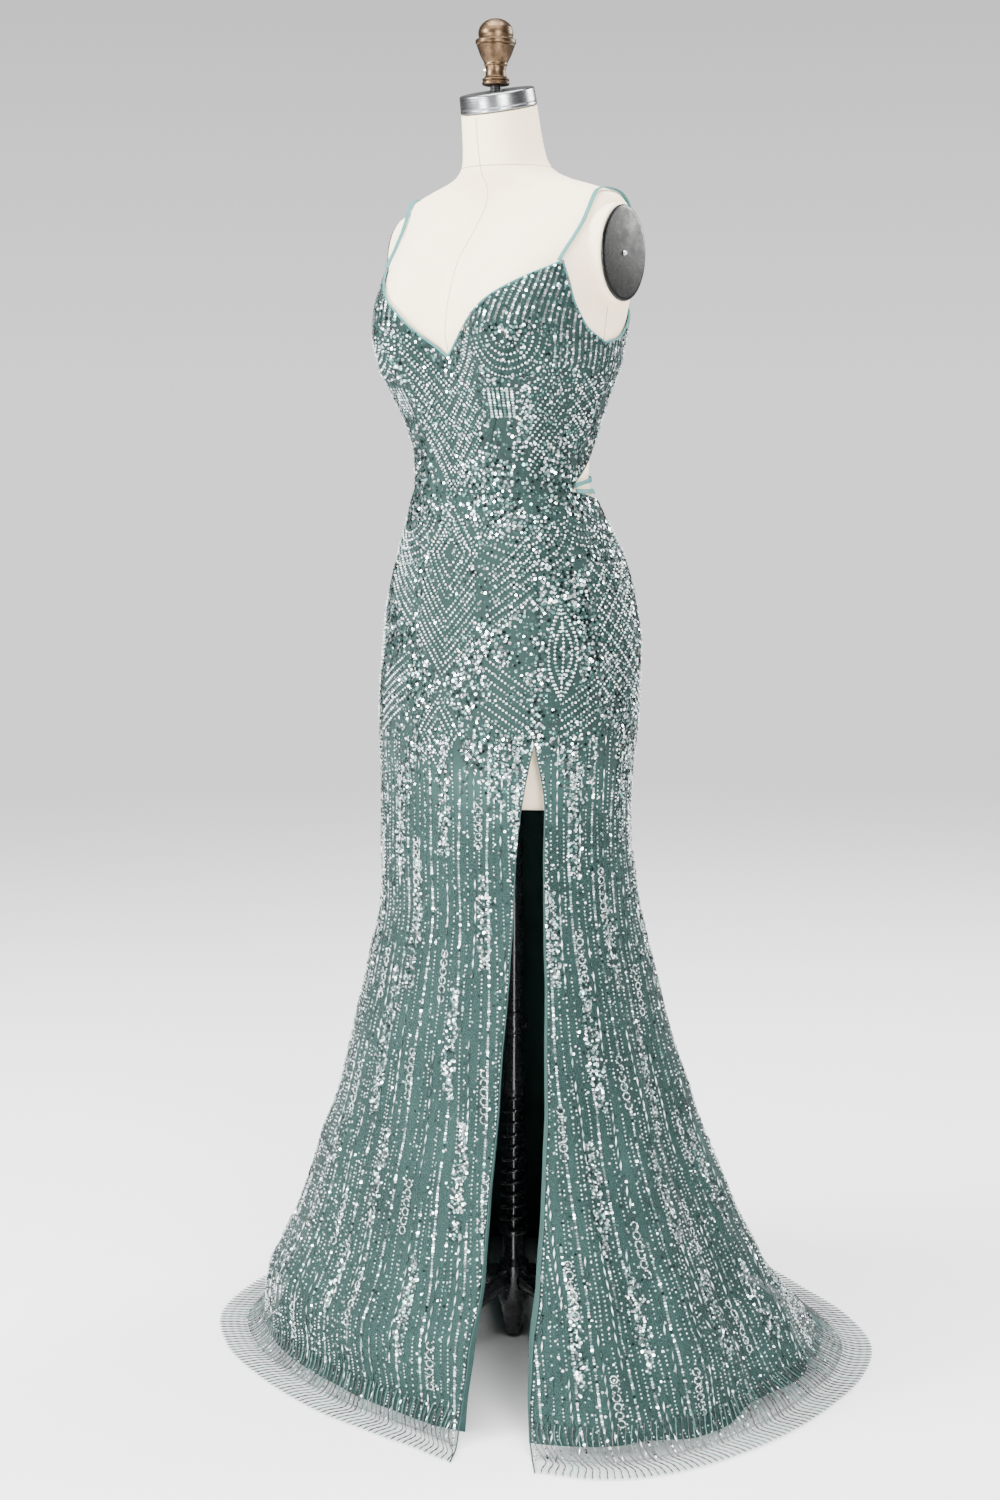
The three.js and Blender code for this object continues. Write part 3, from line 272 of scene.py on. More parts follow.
def form_point(angle, z, grow=0.0):
    """The surface of the dress form, grown outwards by a clearance."""
    angle, z = np.broadcast_arrays(np.asarray(angle, float), np.asarray(z, float))
    c = {name: read(FORM, "z", name, z) for name in FORM if name != "z"}
    cups = c["cups"] * (CUP_EASE if grow > 0 else 1)
    return oval_point(angle, z, c["half_width"] + grow, c["front"] + grow, c["back"] + grow,
                      0, c["centre_y"], c["power"], cups, c["lean"])


def fold_depth(angle, z):
    """The folds' push outwards: a sum of bells across each fold, faded in down its length."""
    away = turn_from(angle[..., None], FOLDS["angle"])
    fade = ease((FOLDS["top"] - z[..., None]) / (FOLDS["top"] - FOLD_FULL))
    return (FOLDS["depth"] * fade * np.exp(-(away / FOLDS["width"]) ** 2)).sum(-1)


def crease_depth(angle, z):
    """The creases' push outwards: bells across slanting lines, faded in at the top and out at the
    bottom, and never deeper inwards than leaves room for the lining."""
    t = (CREASES["top"] - z[..., None]) / (CREASES["top"] - CREASES["bottom"])
    line = CREASES["angle"] + CREASES["lean"] * (t - 0.5)
    away = turn_from(angle[..., None], line)
    fade = ease(t * 2.5) * ease((z[..., None] - CREASES["bottom"] + 70) / 90)
    return (CREASES["depth"] * fade * np.exp(-(away / CREASES["width"]) ** 2)).sum(-1)


def drag_depth(angle, z):
    """Short slanting waves where the close-fitting cloth pulls: bells across and along each line."""
    away = turn_from(angle[..., None], DRAG["angle"])
    off = z[..., None] - DRAG["height"] - DRAG["rise"] * away
    return (DRAG["depth"] * np.exp(-(off / DRAG["width"]) ** 2 - (away / 16) ** 2)).sum(-1)


def skirt_point(angle, z):
    """The outside of the skirt: the form's own section down to the hip, and below it the skirt's
    ovals pushed out by folds and creases."""
    low = np.minimum(z, HIP)
    c = {name: read(SKIRT, "z", name, low) for name in SKIRT if name != "z"}
    free = oval_point(angle, low, c["half_width"], c["front"], c["back"], c["centre_x"],
                      c["centre_y"], 2.15, 0, 0)
    push = fold_depth(angle, low) + crease_depth(angle, low)
    turn = np.radians(angle)
    free[..., 0] += np.sin(turn) * push
    free[..., 1] -= np.cos(turn) * push
    close = form_point(angle, np.maximum(z, HIP), CLOTH)
    pull = drag_depth(angle, z)
    point = np.where((z >= HIP)[..., None], close, free)
    point[..., 0] += np.sin(turn) * pull
    point[..., 1] -= np.cos(turn) * pull
    return point


def gown_point(angle, v):
    """The outside of the gown at an angle and a way v up the cloth. From 125 mm up, v is the height.
    Below it the cloth runs out onto the floor, towards the hem's outline."""
    angle, v = np.broadcast_arrays(np.asarray(angle, float), np.asarray(v, float))
    down = -v
    z = np.where(v >= 125, v, read(HEM_RUN, "down", "z", down))
    share = np.where(v >= 125, 0, read(HEM_RUN, "down", "share", down))
    inset = read(HEM_RUN, "down", "inset", down)
    point = skirt_point(angle, z)
    way = np.arctan2(point[..., 0], -point[..., 1])
    reach = read(HEM, "angle", "reach", np.degrees(way)) - inset
    hem = np.stack([np.sin(way) * reach, -np.cos(way) * reach, z], -1)
    return point + (hem - point) * share[..., None]


def lining_point(angle, z):
    """The lining's outside: the skirt's, moved in towards the axis, and short of the hem."""
    point = skirt_point(angle, z)
    way = np.arctan2(point[..., 0], -point[..., 1])
    reach = read(HEM, "angle", "reach", np.degrees(way))
    inside = read(LINING, "z", "inside", z)
    radius = np.minimum(np.hypot(point[..., 0], point[..., 1]) - inside, reach - LINING_HEM_INSET)
    return np.stack([np.sin(way) * radius, -np.cos(way) * radius, z], -1)


def frame_on(surface, angle, v):
    """Points of a surface with their unit directions along it, up it and out of it, from small
    differences on both sides."""
    point = surface(angle, v)
    along = surface(angle + 0.15, v) - surface(angle - 0.15, v)
    up = surface(angle, v + 0.8) - surface(angle, v - 0.8)
    out = np.cross(along, up)
    out /= np.linalg.norm(out, axis=-1, keepdims=True) + 1e-9
    along /= np.linalg.norm(along, axis=-1, keepdims=True) + 1e-9
    return point, along, np.cross(out, along), out


def slit_right(v):
    """The angle of the slit's right edge at a height; below the floor's level it stays."""
    return read(SLIT, "z", "right", np.maximum(v, 0))


def slit_left(v):
    """The angle of the slit's left edge at a height."""
    return read(SLIT, "z", "left", np.maximum(v, 0))


def princess(v):
    """The left cup seam's angle at a height; the right one's is its opposite."""
    return read(PRINCESS, "z", "angle", v)


def princess_right(v):
    """The right cup seam's angle."""
    return -princess(v)


def level(v):
    """A level edge: the same way up at every angle."""
    return lambda angle: v + 0 * angle


def seam(angle):
    """An upright seam: the same angle at every height."""
    return lambda v: float(angle) + 0 * v


def bodice_top(angle):
    """Height of the bodice's upper edge all round."""
    a = np.abs(turn_from(angle, 0))
    front = np.where(a < STRAP_ANGLE, read(NECKLINE, "angle", "z", a),
                     read(ARMHOLE, "angle", "z", a))
    return np.where(a < 90, front, read(BACK_NECK, "angle", "z", a))


def bodice_bottom(angle):
    """Height of the bodice's lower edge all round."""
    a = np.abs(turn_from(angle, 0))
    return np.where(a < 90, read(SIDE_HEM, "angle", "z", a), read(BACK_HEM, "angle", "z", a))


def skirt_top(angle):
    """Height of the skirt's upper edge all round."""
    return read(SKIRT_TOP, "angle", "z", np.abs(turn_from(angle, 0)))


# Meshes

def make_mesh(name, points, faces, material, smooth=True, sharp=None, uv=None, tint=None,
              extra=None):
    """A new piece from points in millimetres and arrays of faces, one array for each number of
    corners. It rides on the one body. uv and tint are given per point."""
    mesh = bpy.data.meshes.new(name)
    loops = np.concatenate([f.ravel() for f in faces]).astype(np.int32)
    totals = np.concatenate([np.full(len(f), f.shape[1]) for f in faces])
    starts = np.concatenate([[0], np.cumsum(totals)[:-1]]).astype(np.int32)
    mesh.vertices.add(len(points))
    mesh.vertices.foreach_set("co", ((points + AXIS) / 1000).astype(np.float32).ravel())
    mesh.loops.add(len(loops))
    mesh.loops.foreach_set("vertex_index", loops)
    mesh.polygons.add(len(totals))
    mesh.polygons.foreach_set("loop_start", starts)
    mesh.update(calc_edges=True)
    mesh.polygons.foreach_set("use_smooth", np.full(len(totals), smooth))
    if uv is not None:
        layer = mesh.uv_layers.new(name="cloth")
        layer.data.foreach_set("uv", (uv[loops] / 1000).astype(np.float32).ravel())
    if tint is not None:
        colours = mesh.color_attributes.new("tint", "FLOAT_COLOR", "POINT")
        rgba = np.concatenate([tint, np.ones((len(tint), 1))], 1).astype(np.float32)
        colours.data.foreach_set("color", rgba.ravel())
    for key, values in (extra or {}).items():
        attribute = mesh.attributes.new(key, "FLOAT", "POINT")
        attribute.data.foreach_set("value", values.astype(np.float32))
    if sharp is not None:
        mesh.set_sharp_from_angle(angle=math.radians(sharp))
    mesh.materials.append(material)
    piece = bpy.data.objects.new(name, mesh)
    bpy.context.scene.collection.objects.link(piece)
    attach(piece, "root")
    return piece


def grid_faces(rows, columns, closed=False):
    """Quads of a grid of points whose rows run downwards and whose columns run to the left."""
    i = np.arange(rows - 1)[:, None] * columns
    j = np.arange(columns if closed else columns - 1)[None, :]
    k = (j + 1) % columns
    return np.stack([i + j, i + columns + j, i + columns + k, i + k], -1).reshape(-1, 4)


def volume(points, quads):
    """Six times the signed volume inside quads, as triple products of their corners."""
    a, b, c, d = (points[quads[:, n]] for n in range(4))
    return (a * np.cross(b, c)).sum() + (a * np.cross(c, d)).sum()


def solid_of_rings(rings):
    """Points and faces of a closed body through rings of points, with a fan at either end. The faces
    are turned round where the body's volume would come out negative."""
    count, around = rings.shape[:2]
    quads = grid_faces(count, around, closed=True)
    points = np.concatenate([rings.reshape(-1, 3), rings[:1].mean(1), rings[-1:].mean(1)])
    j = np.arange(around)
    k = (j + 1) % around
    low = count * around
    end = (count - 1) * around
    fans = np.concatenate([np.stack([np.full(around, low), j, k], -1),
                           np.stack([np.full(around, low + 1), end + k, end + j], -1)])
    middle = points.mean(0)
    if volume(points - middle, quads) < 0:
        quads, fans = quads[:, ::-1], fans[:, ::-1]
    return points, quads, fans


def joined(bodies):
    """Several bodies as one set of points, quads and triangles."""
    points, quads, fans, base = [], [], [], 0
    for p, q, f in bodies:
        points.append(p)
        quads.append(q + base)
        fans.append(f + base)
        base += len(p)
    return np.concatenate(points), [np.concatenate(quads), np.concatenate(fans)]


def circle(count, start=0.0):
    """Cosine and sine of even turns round a circle."""
    turn = np.linspace(0, 2 * np.pi, count, endpoint=False) + start
    return np.cos(turn), np.sin(turn)


def rounded(profile):
    """A turned profile of heights and radii with its corners cut by short arcs: each corner is
    replaced by points of a quadratic curve between spots near it on its two sides."""
    p = np.array(profile, float)
    before, here, after = p[:-2], p[1:-1], p[2:]

    def near(to):
        gap = np.linalg.norm(to - here, axis=1, keepdims=True)
        return here + (to - here) * np.minimum(0.45, CORNER_RADIUS / np.maximum(gap, 1e-6))

    t = np.linspace(0, 1, CORNER_POINTS)[None, :, None]
    a, b, c = near(before)[:, None], here[:, None], near(after)[:, None]
    curve = (a * (1 - t) ** 2 + 2 * b * t * (1 - t) + c * t * t).reshape(-1, 2)
    return np.concatenate([p[:1], curve, p[-1:]])


def turned(profile, around=48, y=0.0):
    """A turned body: each height and radius of the profile swept round an upright line."""
    rows = rounded(profile)
    c, s = circle(around)
    z, r = rows[:, :1], np.maximum(rows[:, 1:], 0.02)
    return solid_of_rings(np.stack([r * c, y + r * s, z + 0 * s], -1))


def tube(path, radius, around=8, outward=None):
    """A round bar along a path: at each point a circle across the path's direction, whose second
    direction is the given outward one."""
    ahead = np.gradient(path, axis=0)
    ahead /= np.linalg.norm(ahead, axis=1, keepdims=True)
    if outward is None:
        outward = np.broadcast_to(np.array([0.0, 0.0, 1.0]), path.shape)
    side = np.cross(ahead, outward)
    side /= np.linalg.norm(side, axis=1, keepdims=True)
    out = np.cross(side, ahead)
    c, s = circle(around)
    radius = np.broadcast_to(np.asarray(radius, float), len(path))[:, None, None]
    rings = path[:, None] + radius * (side[:, None] * c[:, None] + out[:, None] * s[:, None])
    return solid_of_rings(rings)


def cloth_grid(surface, left, right, top, bottom, columns, rows, curl=1.2):
    """A panel's points between two seams and two edges: the way up runs evenly from the top to the
    bottom edge of each column, and the angle evenly from seam to seam. The last millimetres along
    each seam dip in by a bell, as sewn cloth does. Returns points, uv in millimetres,
    faces and each point's way up."""
    across = np.linspace(0, 1, columns)[None, :]
    down = np.linspace(0, 1, rows)[:, None]
    v = np.broadcast_to(0.5, (rows, columns))
    for _ in range(12):
        angle = left(v) + (right(v) - left(v)) * across
        v = top(angle[:1]) + (bottom(angle[-1:]) - top(angle[:1])) * down
    angle = left(v) + (right(v) - left(v)) * across
    point, _, _, out = frame_on(surface, angle, v)
    widths = np.linalg.norm(np.diff(point, axis=1), axis=-1)
    from_left = np.concatenate([np.zeros((rows, 1)), np.cumsum(widths, 1)], 1)
    edge = np.minimum(from_left, from_left[:, -1:] - from_left)
    point = point - out * (curl * np.exp(-(edge / 2.2) ** 2))[..., None]
    lengths = np.linalg.norm(np.diff(point, axis=0), axis=-1)
    from_top = np.concatenate([np.zeros((1, columns)), np.cumsum(lengths, 0)], 0)
    uv = np.stack([from_left - from_left[:, -1:] / 2, -from_top], -1).reshape(-1, 2)
    return point.reshape(-1, 3), uv, grid_faces(rows, columns), v.reshape(-1)


def cover_at(v):
    """How much of what lies under it the tulle hides: all where it is worked with the lining as one
    cloth, less where it hangs free over the lining, and least where it runs out past the lining."""
    return HEM_COVER + 0.40 * ease((v - 4) / 14) + 0.36 * ease((v - 700) / 90)


def cloth_piece(name, grid, material, thickness, replaces):
    """A panel as a thin shell: the outer grid, given its thickness inwards by Solidify."""
    points, uv, faces, v = grid
    extra = {"cover": cover_at(v), "worked": ease((v - 770) / 70)}
    piece = make_mesh(name, points, [faces], material, uv=uv, extra=extra)
    wall = piece.modifiers.new("wall", "SOLIDIFY")
    wall.thickness = thickness / 1000
    wall.offset = -1
    if replaces:
        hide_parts(*replaces)
    return piece


# Materials

def material(name):
    """A new node material with its shader, ready for nodes."""
    made = bpy.data.materials.new(name)
    made.use_nodes = True
    shader = made.node_tree.nodes["Principled BSDF"]
    return made, made.node_tree.nodes, made.node_tree.links, shader


def set_values(shader, **values):
    """Sets a shader's unlinked inputs, whose names have _ in place of each space."""
    for key, value in values.items():
        shader.inputs[key.replace("_", " ")].default_value = value


def node(nodes, links, kind, inputs=None, **settings):
    """A node with its settings, and its inputs given as values or as sockets to link."""
    made = nodes.new(kind)
    for key, value in settings.items():
        setattr(made, key, value)
    for key, value in (inputs or {}).items():
        if isinstance(value, bpy.types.NodeSocket):
            links.new(value, made.inputs[key])
        else:
            made.inputs[key].default_value = value
    return made


def ramp(nodes, links, factor, stops):
    """A colour ramp from a factor, through stops of position and colour."""
    made = node(nodes, links, "ShaderNodeValToRGB", {"Fac": factor})
    band = made.color_ramp
    while len(band.elements) < len(stops):
        band.elements.new(0.5)
    for element, (place, colour) in zip(band.elements, stops):
        element.position = place
        element.color = (*colour, 1) if len(colour) == 3 else colour
    return made.outputs["Color"]


def scaled(colour, by):
    """A colour made lighter or darker by a factor."""
    return tuple(min(1.0, c * by) for c in colour)


def tulle_material(name, colour):
    """Beaded tulle: fine net in the bump, a field of tiny sewn sequins in colour and gloss, whose
    random bright and dark tints are painted glints and painted dark reflections, and a cloudy change of
    tint. The cover attribute says how much of what lies under the net it hides, and the worked
    attribute how thickly it is sewn over."""
    made, nodes, links, shader = material(name)
    uv = node(nodes, links, "ShaderNodeUVMap", uv_map="cloth").outputs["UV"]
    place = node(nodes, links, "ShaderNodeTexCoord").outputs["Object"]
    cloud = node(nodes, links, "ShaderNodeTexNoise",
                 {"Vector": place, "Scale": 9.0, "Detail": 4.0, "Roughness": 0.6}).outputs["Fac"]
    dots = node(nodes, links, "ShaderNodeTexVoronoi",
                {"Vector": uv, "Scale": 260.0, "Randomness": 0.85}, feature="F1")
    near = node(nodes, links, "ShaderNodeMath", {0: dots.outputs["Distance"], 1: 0.27},
                operation="LESS_THAN").outputs["Value"]
    spread = node(nodes, links, "ShaderNodeSeparateColor", {"Color": dots.outputs["Color"]})
    # The tiny sequins' tints are picked at random per dot, from near-black to pale grey-aqua: the dots
    # are real, but their bright and dark tints are painted glints and painted dark reflections.
    sewn = ramp(nodes, links, spread.outputs["Red"], [
        (0.0, scaled(colour, 0.2)), (0.3, scaled(colour, 0.7)), (0.6, scaled(colour, 1.7)),
        (0.88, (0.12, 0.22, 0.20)), (1.0, (0.40, 0.50, 0.48))])
    plain = ramp(nodes, links, cloud, [(0.3, scaled(colour, 0.75)), (0.7, scaled(colour, 1.2))])
    cover = node(nodes, links, "ShaderNodeAttribute", attribute_name="cover").outputs["Fac"]
    worked = node(nodes, links, "ShaderNodeAttribute", attribute_name="worked").outputs["Fac"]
    near = node(nodes, links, "ShaderNodeMath", {0: near, 1: worked},
                operation="MULTIPLY").outputs["Value"]
    depth = node(nodes, links, "ShaderNodeMapRange",
                 {"Value": worked, "To Min": 1.0, "To Max": 0.62})
    ground = node(nodes, links, "ShaderNodeVectorMath", {0: plain, 1: depth.outputs["Result"]},
                  operation="MULTIPLY").outputs["Vector"]
    mixed = node(nodes, links, "ShaderNodeMix", {"Factor": near}, data_type="RGBA")
    links.new(ground, mixed.inputs["A"])
    links.new(sewn, mixed.inputs["B"])
    links.new(mixed.outputs["Result"], shader.inputs["Base Color"])
    rough = node(nodes, links, "ShaderNodeMapRange",
                 {"Value": near, "To Min": 0.7, "To Max": 0.3}).outputs["Result"]
    links.new(rough, shader.inputs["Roughness"])
    net = node(nodes, links, "ShaderNodeTexWave",
               {"Vector": uv, "Scale": 300.0, "Distortion": 0.6}, wave_type="BANDS")
    raised = node(nodes, links, "ShaderNodeMath",
                  {0: near, 1: 0.6, 2: net.outputs["Fac"]}, operation="MULTIPLY_ADD")
    bump = node(nodes, links, "ShaderNodeBump",
                {"Strength": 0.35, "Distance": 0.0007, "Height": raised.outputs["Value"]})
    links.new(bump.outputs["Normal"], shader.inputs["Normal"])
    set_values(shader, Sheen_Weight=0.02, Sheen_Roughness=0.4, Specular_IOR_Level=0.15)
    alpha = node(nodes, links, "ShaderNodeMath", {0: cover, 1: near}, operation="MAXIMUM")
    links.new(alpha.outputs["Value"], shader.inputs["Alpha"])
    return made


def cloth_material(name, colour, scale, depth, roughness, sheen, contrast=0.12):
    """Plain woven cloth: warp and weft as two crossed wave patterns, with cloudy tint."""
    made, nodes, links, shader = material(name)
    place = node(nodes, links, "ShaderNodeTexCoord").outputs["Object"]
    warp = node(nodes, links, "ShaderNodeTexWave",
                {"Vector": place, "Scale": scale, "Distortion": 0.8, "Detail": 2.0},
                bands_direction="X").outputs["Fac"]
    weft = node(nodes, links, "ShaderNodeTexWave",
                {"Vector": place, "Scale": scale, "Distortion": 0.8, "Detail": 2.0},
                bands_direction="Z").outputs["Fac"]
    weave = node(nodes, links, "ShaderNodeMath", {0: warp, 1: weft},
                 operation="MULTIPLY").outputs["Value"]
    cloud = node(nodes, links, "ShaderNodeTexNoise",
                 {"Vector": place, "Scale": 14.0, "Detail": 5.0, "Roughness": 0.6}).outputs["Fac"]
    both = node(nodes, links, "ShaderNodeMath", {0: weave, 1: 0.35, 2: cloud},
                operation="MULTIPLY_ADD")
    tone = ramp(nodes, links, both.outputs["Value"], [
        (0.3, scaled(colour, 1 - contrast)), (0.75, scaled(colour, 1 + contrast / 2))])
    links.new(tone, shader.inputs["Base Color"])
    bump = node(nodes, links, "ShaderNodeBump",
                {"Strength": 0.4, "Distance": depth, "Height": weave})
    links.new(bump.outputs["Normal"], shader.inputs["Normal"])
    rough = node(nodes, links, "ShaderNodeMapRange",
                 {"Value": cloud, "To Min": roughness - 0.06, "To Max": roughness + 0.06})
    links.new(rough.outputs["Result"], shader.inputs["Roughness"])
    set_values(shader, Sheen_Weight=sheen, Sheen_Roughness=0.45, Specular_IOR_Level=0.15)
    return made


def metal_material(name, dark, light, roughness, stretch, scale, metallic=1.0):
    """Metal with a grain: noise pulled out along one direction for brushing, or left round for
    mottling, in tint, gloss and bump."""
    made, nodes, links, shader = material(name)
    place = node(nodes, links, "ShaderNodeTexCoord").outputs["Object"]
    pulled = node(nodes, links, "ShaderNodeMapping",
                  {"Vector": place, "Scale": stretch}).outputs["Vector"]
    grain = node(nodes, links, "ShaderNodeTexNoise",
                 {"Vector": pulled, "Scale": scale, "Detail": 6.0, "Roughness": 0.65}).outputs["Fac"]
    tone = ramp(nodes, links, grain, [(0.32, dark), (0.68, light)])
    links.new(tone, shader.inputs["Base Color"])
    rough = node(nodes, links, "ShaderNodeMapRange",
                 {"Value": grain, "From Min": 0.3, "From Max": 0.7, "To Min": roughness + 0.1,
                  "To Max": roughness - 0.05})
    links.new(rough.outputs["Result"], shader.inputs["Roughness"])
    bump = node(nodes, links, "ShaderNodeBump",
                {"Strength": 0.25, "Distance": METAL_GRAIN, "Height": grain})
    links.new(bump.outputs["Normal"], shader.inputs["Normal"])
    set_values(shader, Metallic=metallic)
    return made


def bead_material(name, metallic, roughness):
    """Sewn sequins and beads: each one's own tint from the tint attribute, clouded a little, with a
    thin clear coat."""
    made, nodes, links, shader = material(name)
    tint = node(nodes, links, "ShaderNodeAttribute", attribute_name="tint").outputs["Color"]
    place = node(nodes, links, "ShaderNodeTexCoord").outputs["Object"]
    fleck = node(nodes, links, "ShaderNodeTexNoise",
                 {"Vector": place, "Scale": 420.0, "Detail": 2.0}).outputs["Fac"]
    shade = node(nodes, links, "ShaderNodeMapRange", {"Value": fleck, "To Min": 0.8, "To Max": 1.15})
    mixed = node(nodes, links, "ShaderNodeVectorMath", {0: tint, 1: shade.outputs["Result"]},
                 operation="MULTIPLY")
    links.new(mixed.outputs["Vector"], shader.inputs["Base Color"])
    rough = node(nodes, links, "ShaderNodeMapRange",
                 {"Value": fleck, "To Min": roughness, "To Max": roughness + 0.12})
    links.new(rough.outputs["Result"], shader.inputs["Roughness"])
    set_values(shader, Metallic=metallic, Coat_Weight=0.3, Coat_Roughness=0.12)
    return made


def shared(key, maker):
    """A material made once and used again by its name."""
    found = bpy.data.materials.get(key)
    return found or maker()


def satin_material(colours):
    """The straps' plain satin."""
    return shared("satin band", lambda: cloth_material("satin band", tuple(colours.satin), 700.0,
                                                       0.0001, 0.5, 0.0, 0.12))


def gown_tulle(colours):
    """The beaded tulle of the whole gown."""
    return shared("beaded tulle", lambda: tulle_material("beaded tulle", tuple(colours.tulle)))


# Settings

class GownColours(bpy.types.PropertyGroup):
    """Colours of the cloth and of what is sewn on it."""

    tulle: FloatVectorProperty(name="Tulle", description="Ground colour of the beaded tulle",
                               default=(0.0200, 0.0480, 0.0440), subtype="COLOR", min=0, max=1)
    lining: FloatVectorProperty(name="Lining", description="Colour of the plain lining",
                                default=(0.024, 0.058, 0.053), subtype="COLOR", min=0, max=1)
    satin: FloatVectorProperty(name="Satin", description="Colour of straps, ties and bound edges",
                               default=(0.050, 0.175, 0.175), subtype="COLOR", min=0, max=1)
    linen: FloatVectorProperty(name="Linen", description="Colour of the form's cover",
                               default=(0.95, 0.78, 0.56), subtype="COLOR", min=0, max=1)


class GownSizes(bpy.types.PropertyGroup):
    """Sizes of the shells and of what is sewn on them."""

    wall: FloatProperty(name="Tulle", description="Thickness of the tulle with its beads",
                        default=0.0008, unit="LENGTH", min=0.0003, max=0.002, precision=4)
    lining_wall: FloatProperty(name="Lining", description="Thickness of the lining",
                               default=0.0006, unit="LENGTH", min=0.0003, max=0.002, precision=4)
    sequin: FloatProperty(name="Sequin", description="Radius of a sewn sequin",
                          default=0.0020, unit="LENGTH", min=0.001, max=0.004, precision=4)
    sequin_gap: FloatProperty(name="Sequin spacing", description="Distance between scattered sequins",
                              default=0.0043, unit="LENGTH", min=0.003, max=0.02, precision=4)
    bead: FloatProperty(name="Bead", description="Radius of a round bead",
                        default=0.0018, unit="LENGTH", min=0.0008, max=0.003, precision=4)
    bead_gap: FloatProperty(name="Bead spacing", description="Distance between the beads of a row",
                            default=0.0050, unit="LENGTH", min=0.002, max=0.02, precision=4)
    bugle: FloatProperty(name="Bugle bead", description="Length of a bugle bead",
                         default=0.012, unit="LENGTH", min=0.003, max=0.02, precision=4)


class StageSettings(bpy.types.PropertyGroup):
    """The studio around the gown."""

    floor: FloatProperty(name="Floor tone", description="Brightness of the pale floor", default=0.9,
                         subtype="FACTOR", min=0, max=1)
    key_power: FloatProperty(name="Key light", description="Power of the large soft light",
                             default=600, unit="POWER", min=0, max=2000)
    ambient: FloatProperty(name="Ambient light", description="Strength of the light from all round",
                           default=0.18, min=0, max=2)
    turns: IntProperty(name="Camera azimuth", description="Degrees round from the front", default=38)


# The dress form

class GOWN_OT_form(bpy.types.Operator):
    """The padded torso under its linen cover, with the arm stubs and the sewn seams"""

    bl_idname = "gown.form"
    bl_label = "Dress form"

    def execute(self, context):
        colours = context.scene.gown_colours
        linen = cloth_material("cream linen", tuple(colours.linen), 420.0, 0.0004, 0.86, 0.15, 0.07)
        c, s = circle(128, -np.pi / 2)
        angle = np.degrees(np.arctan2(c, -s))[None, :]
        z = np.concatenate([FORM_BOTTOM + np.array([0.0, 1.2, 3.5, 7.0]),
                            np.linspace(FORM_BOTTOM + 12, 1600.6, 130)])[:, None]
        grow = -6 * (1 - np.sqrt(np.clip((z - FORM_BOTTOM) / 7, 0, 1)))
        skin = form_point(angle, z) * np.ones(3)
        out = np.stack([c, s, 0 * c], -1)[None]
        torso = solid_of_rings((skin + out * grow[..., None])[::-1])
        bodies = [torso]
        c, s = circle(72)
        for side in (1, -1):
            run = np.array([(118, 0), (158, 0), (163, -0.4), (165.4, -1.4), (166.4, -3.0),
                            (166.7, -5.0)])
            x = np.broadcast_to(side * run[:, :1], (len(run), len(c)))
            y = PLATE["y"] + c * (PLATE["half_width"] + 3 + run[:, 1:])
            up = PLATE["z"] + s * (PLATE["half_height"] + 3 + run[:, 1:])
            bodies.append(solid_of_rings(np.stack([x, y, up], -1)))
        points, faces = joined(bodies)
        cover = make_mesh("linen_cover", points, faces, linen, sharp=60)
        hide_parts("form_torso")

        piping = cloth_material("linen seam", scaled(tuple(colours.linen), 0.4), 420.0, 0.0003,
                                0.9, 0.0)
        lines = []
        up = np.linspace(FORM_BOTTOM + 10, 1598, 150)
        for line in (0, 180):
            lines.append(form_point(np.full(150, line), up))
        round_neck = np.linspace(0, 360, 97)
        lines.append(form_point(round_neck, NECK_SEAM + 5 * np.cos(np.radians(round_neck))))
        low = np.linspace(FORM_BOTTOM + 10, 1362, 110)
        lines += [form_point(np.full(110, side * 90.0), low) for side in (1, -1)]
        tubes = []
        for line in lines:
            middle = np.array([0, -8, 0]) + line * [0, 0, 1]
            outward = line - middle
            outward /= np.linalg.norm(outward, axis=1, keepdims=True) + 1e-9
            tubes.append(tube(line - outward * 0.2, 0.6, 6, outward=outward))
        points, faces = joined(tubes)
        make_mesh("form_seams", points, faces, piping)
        return {"FINISHED"}


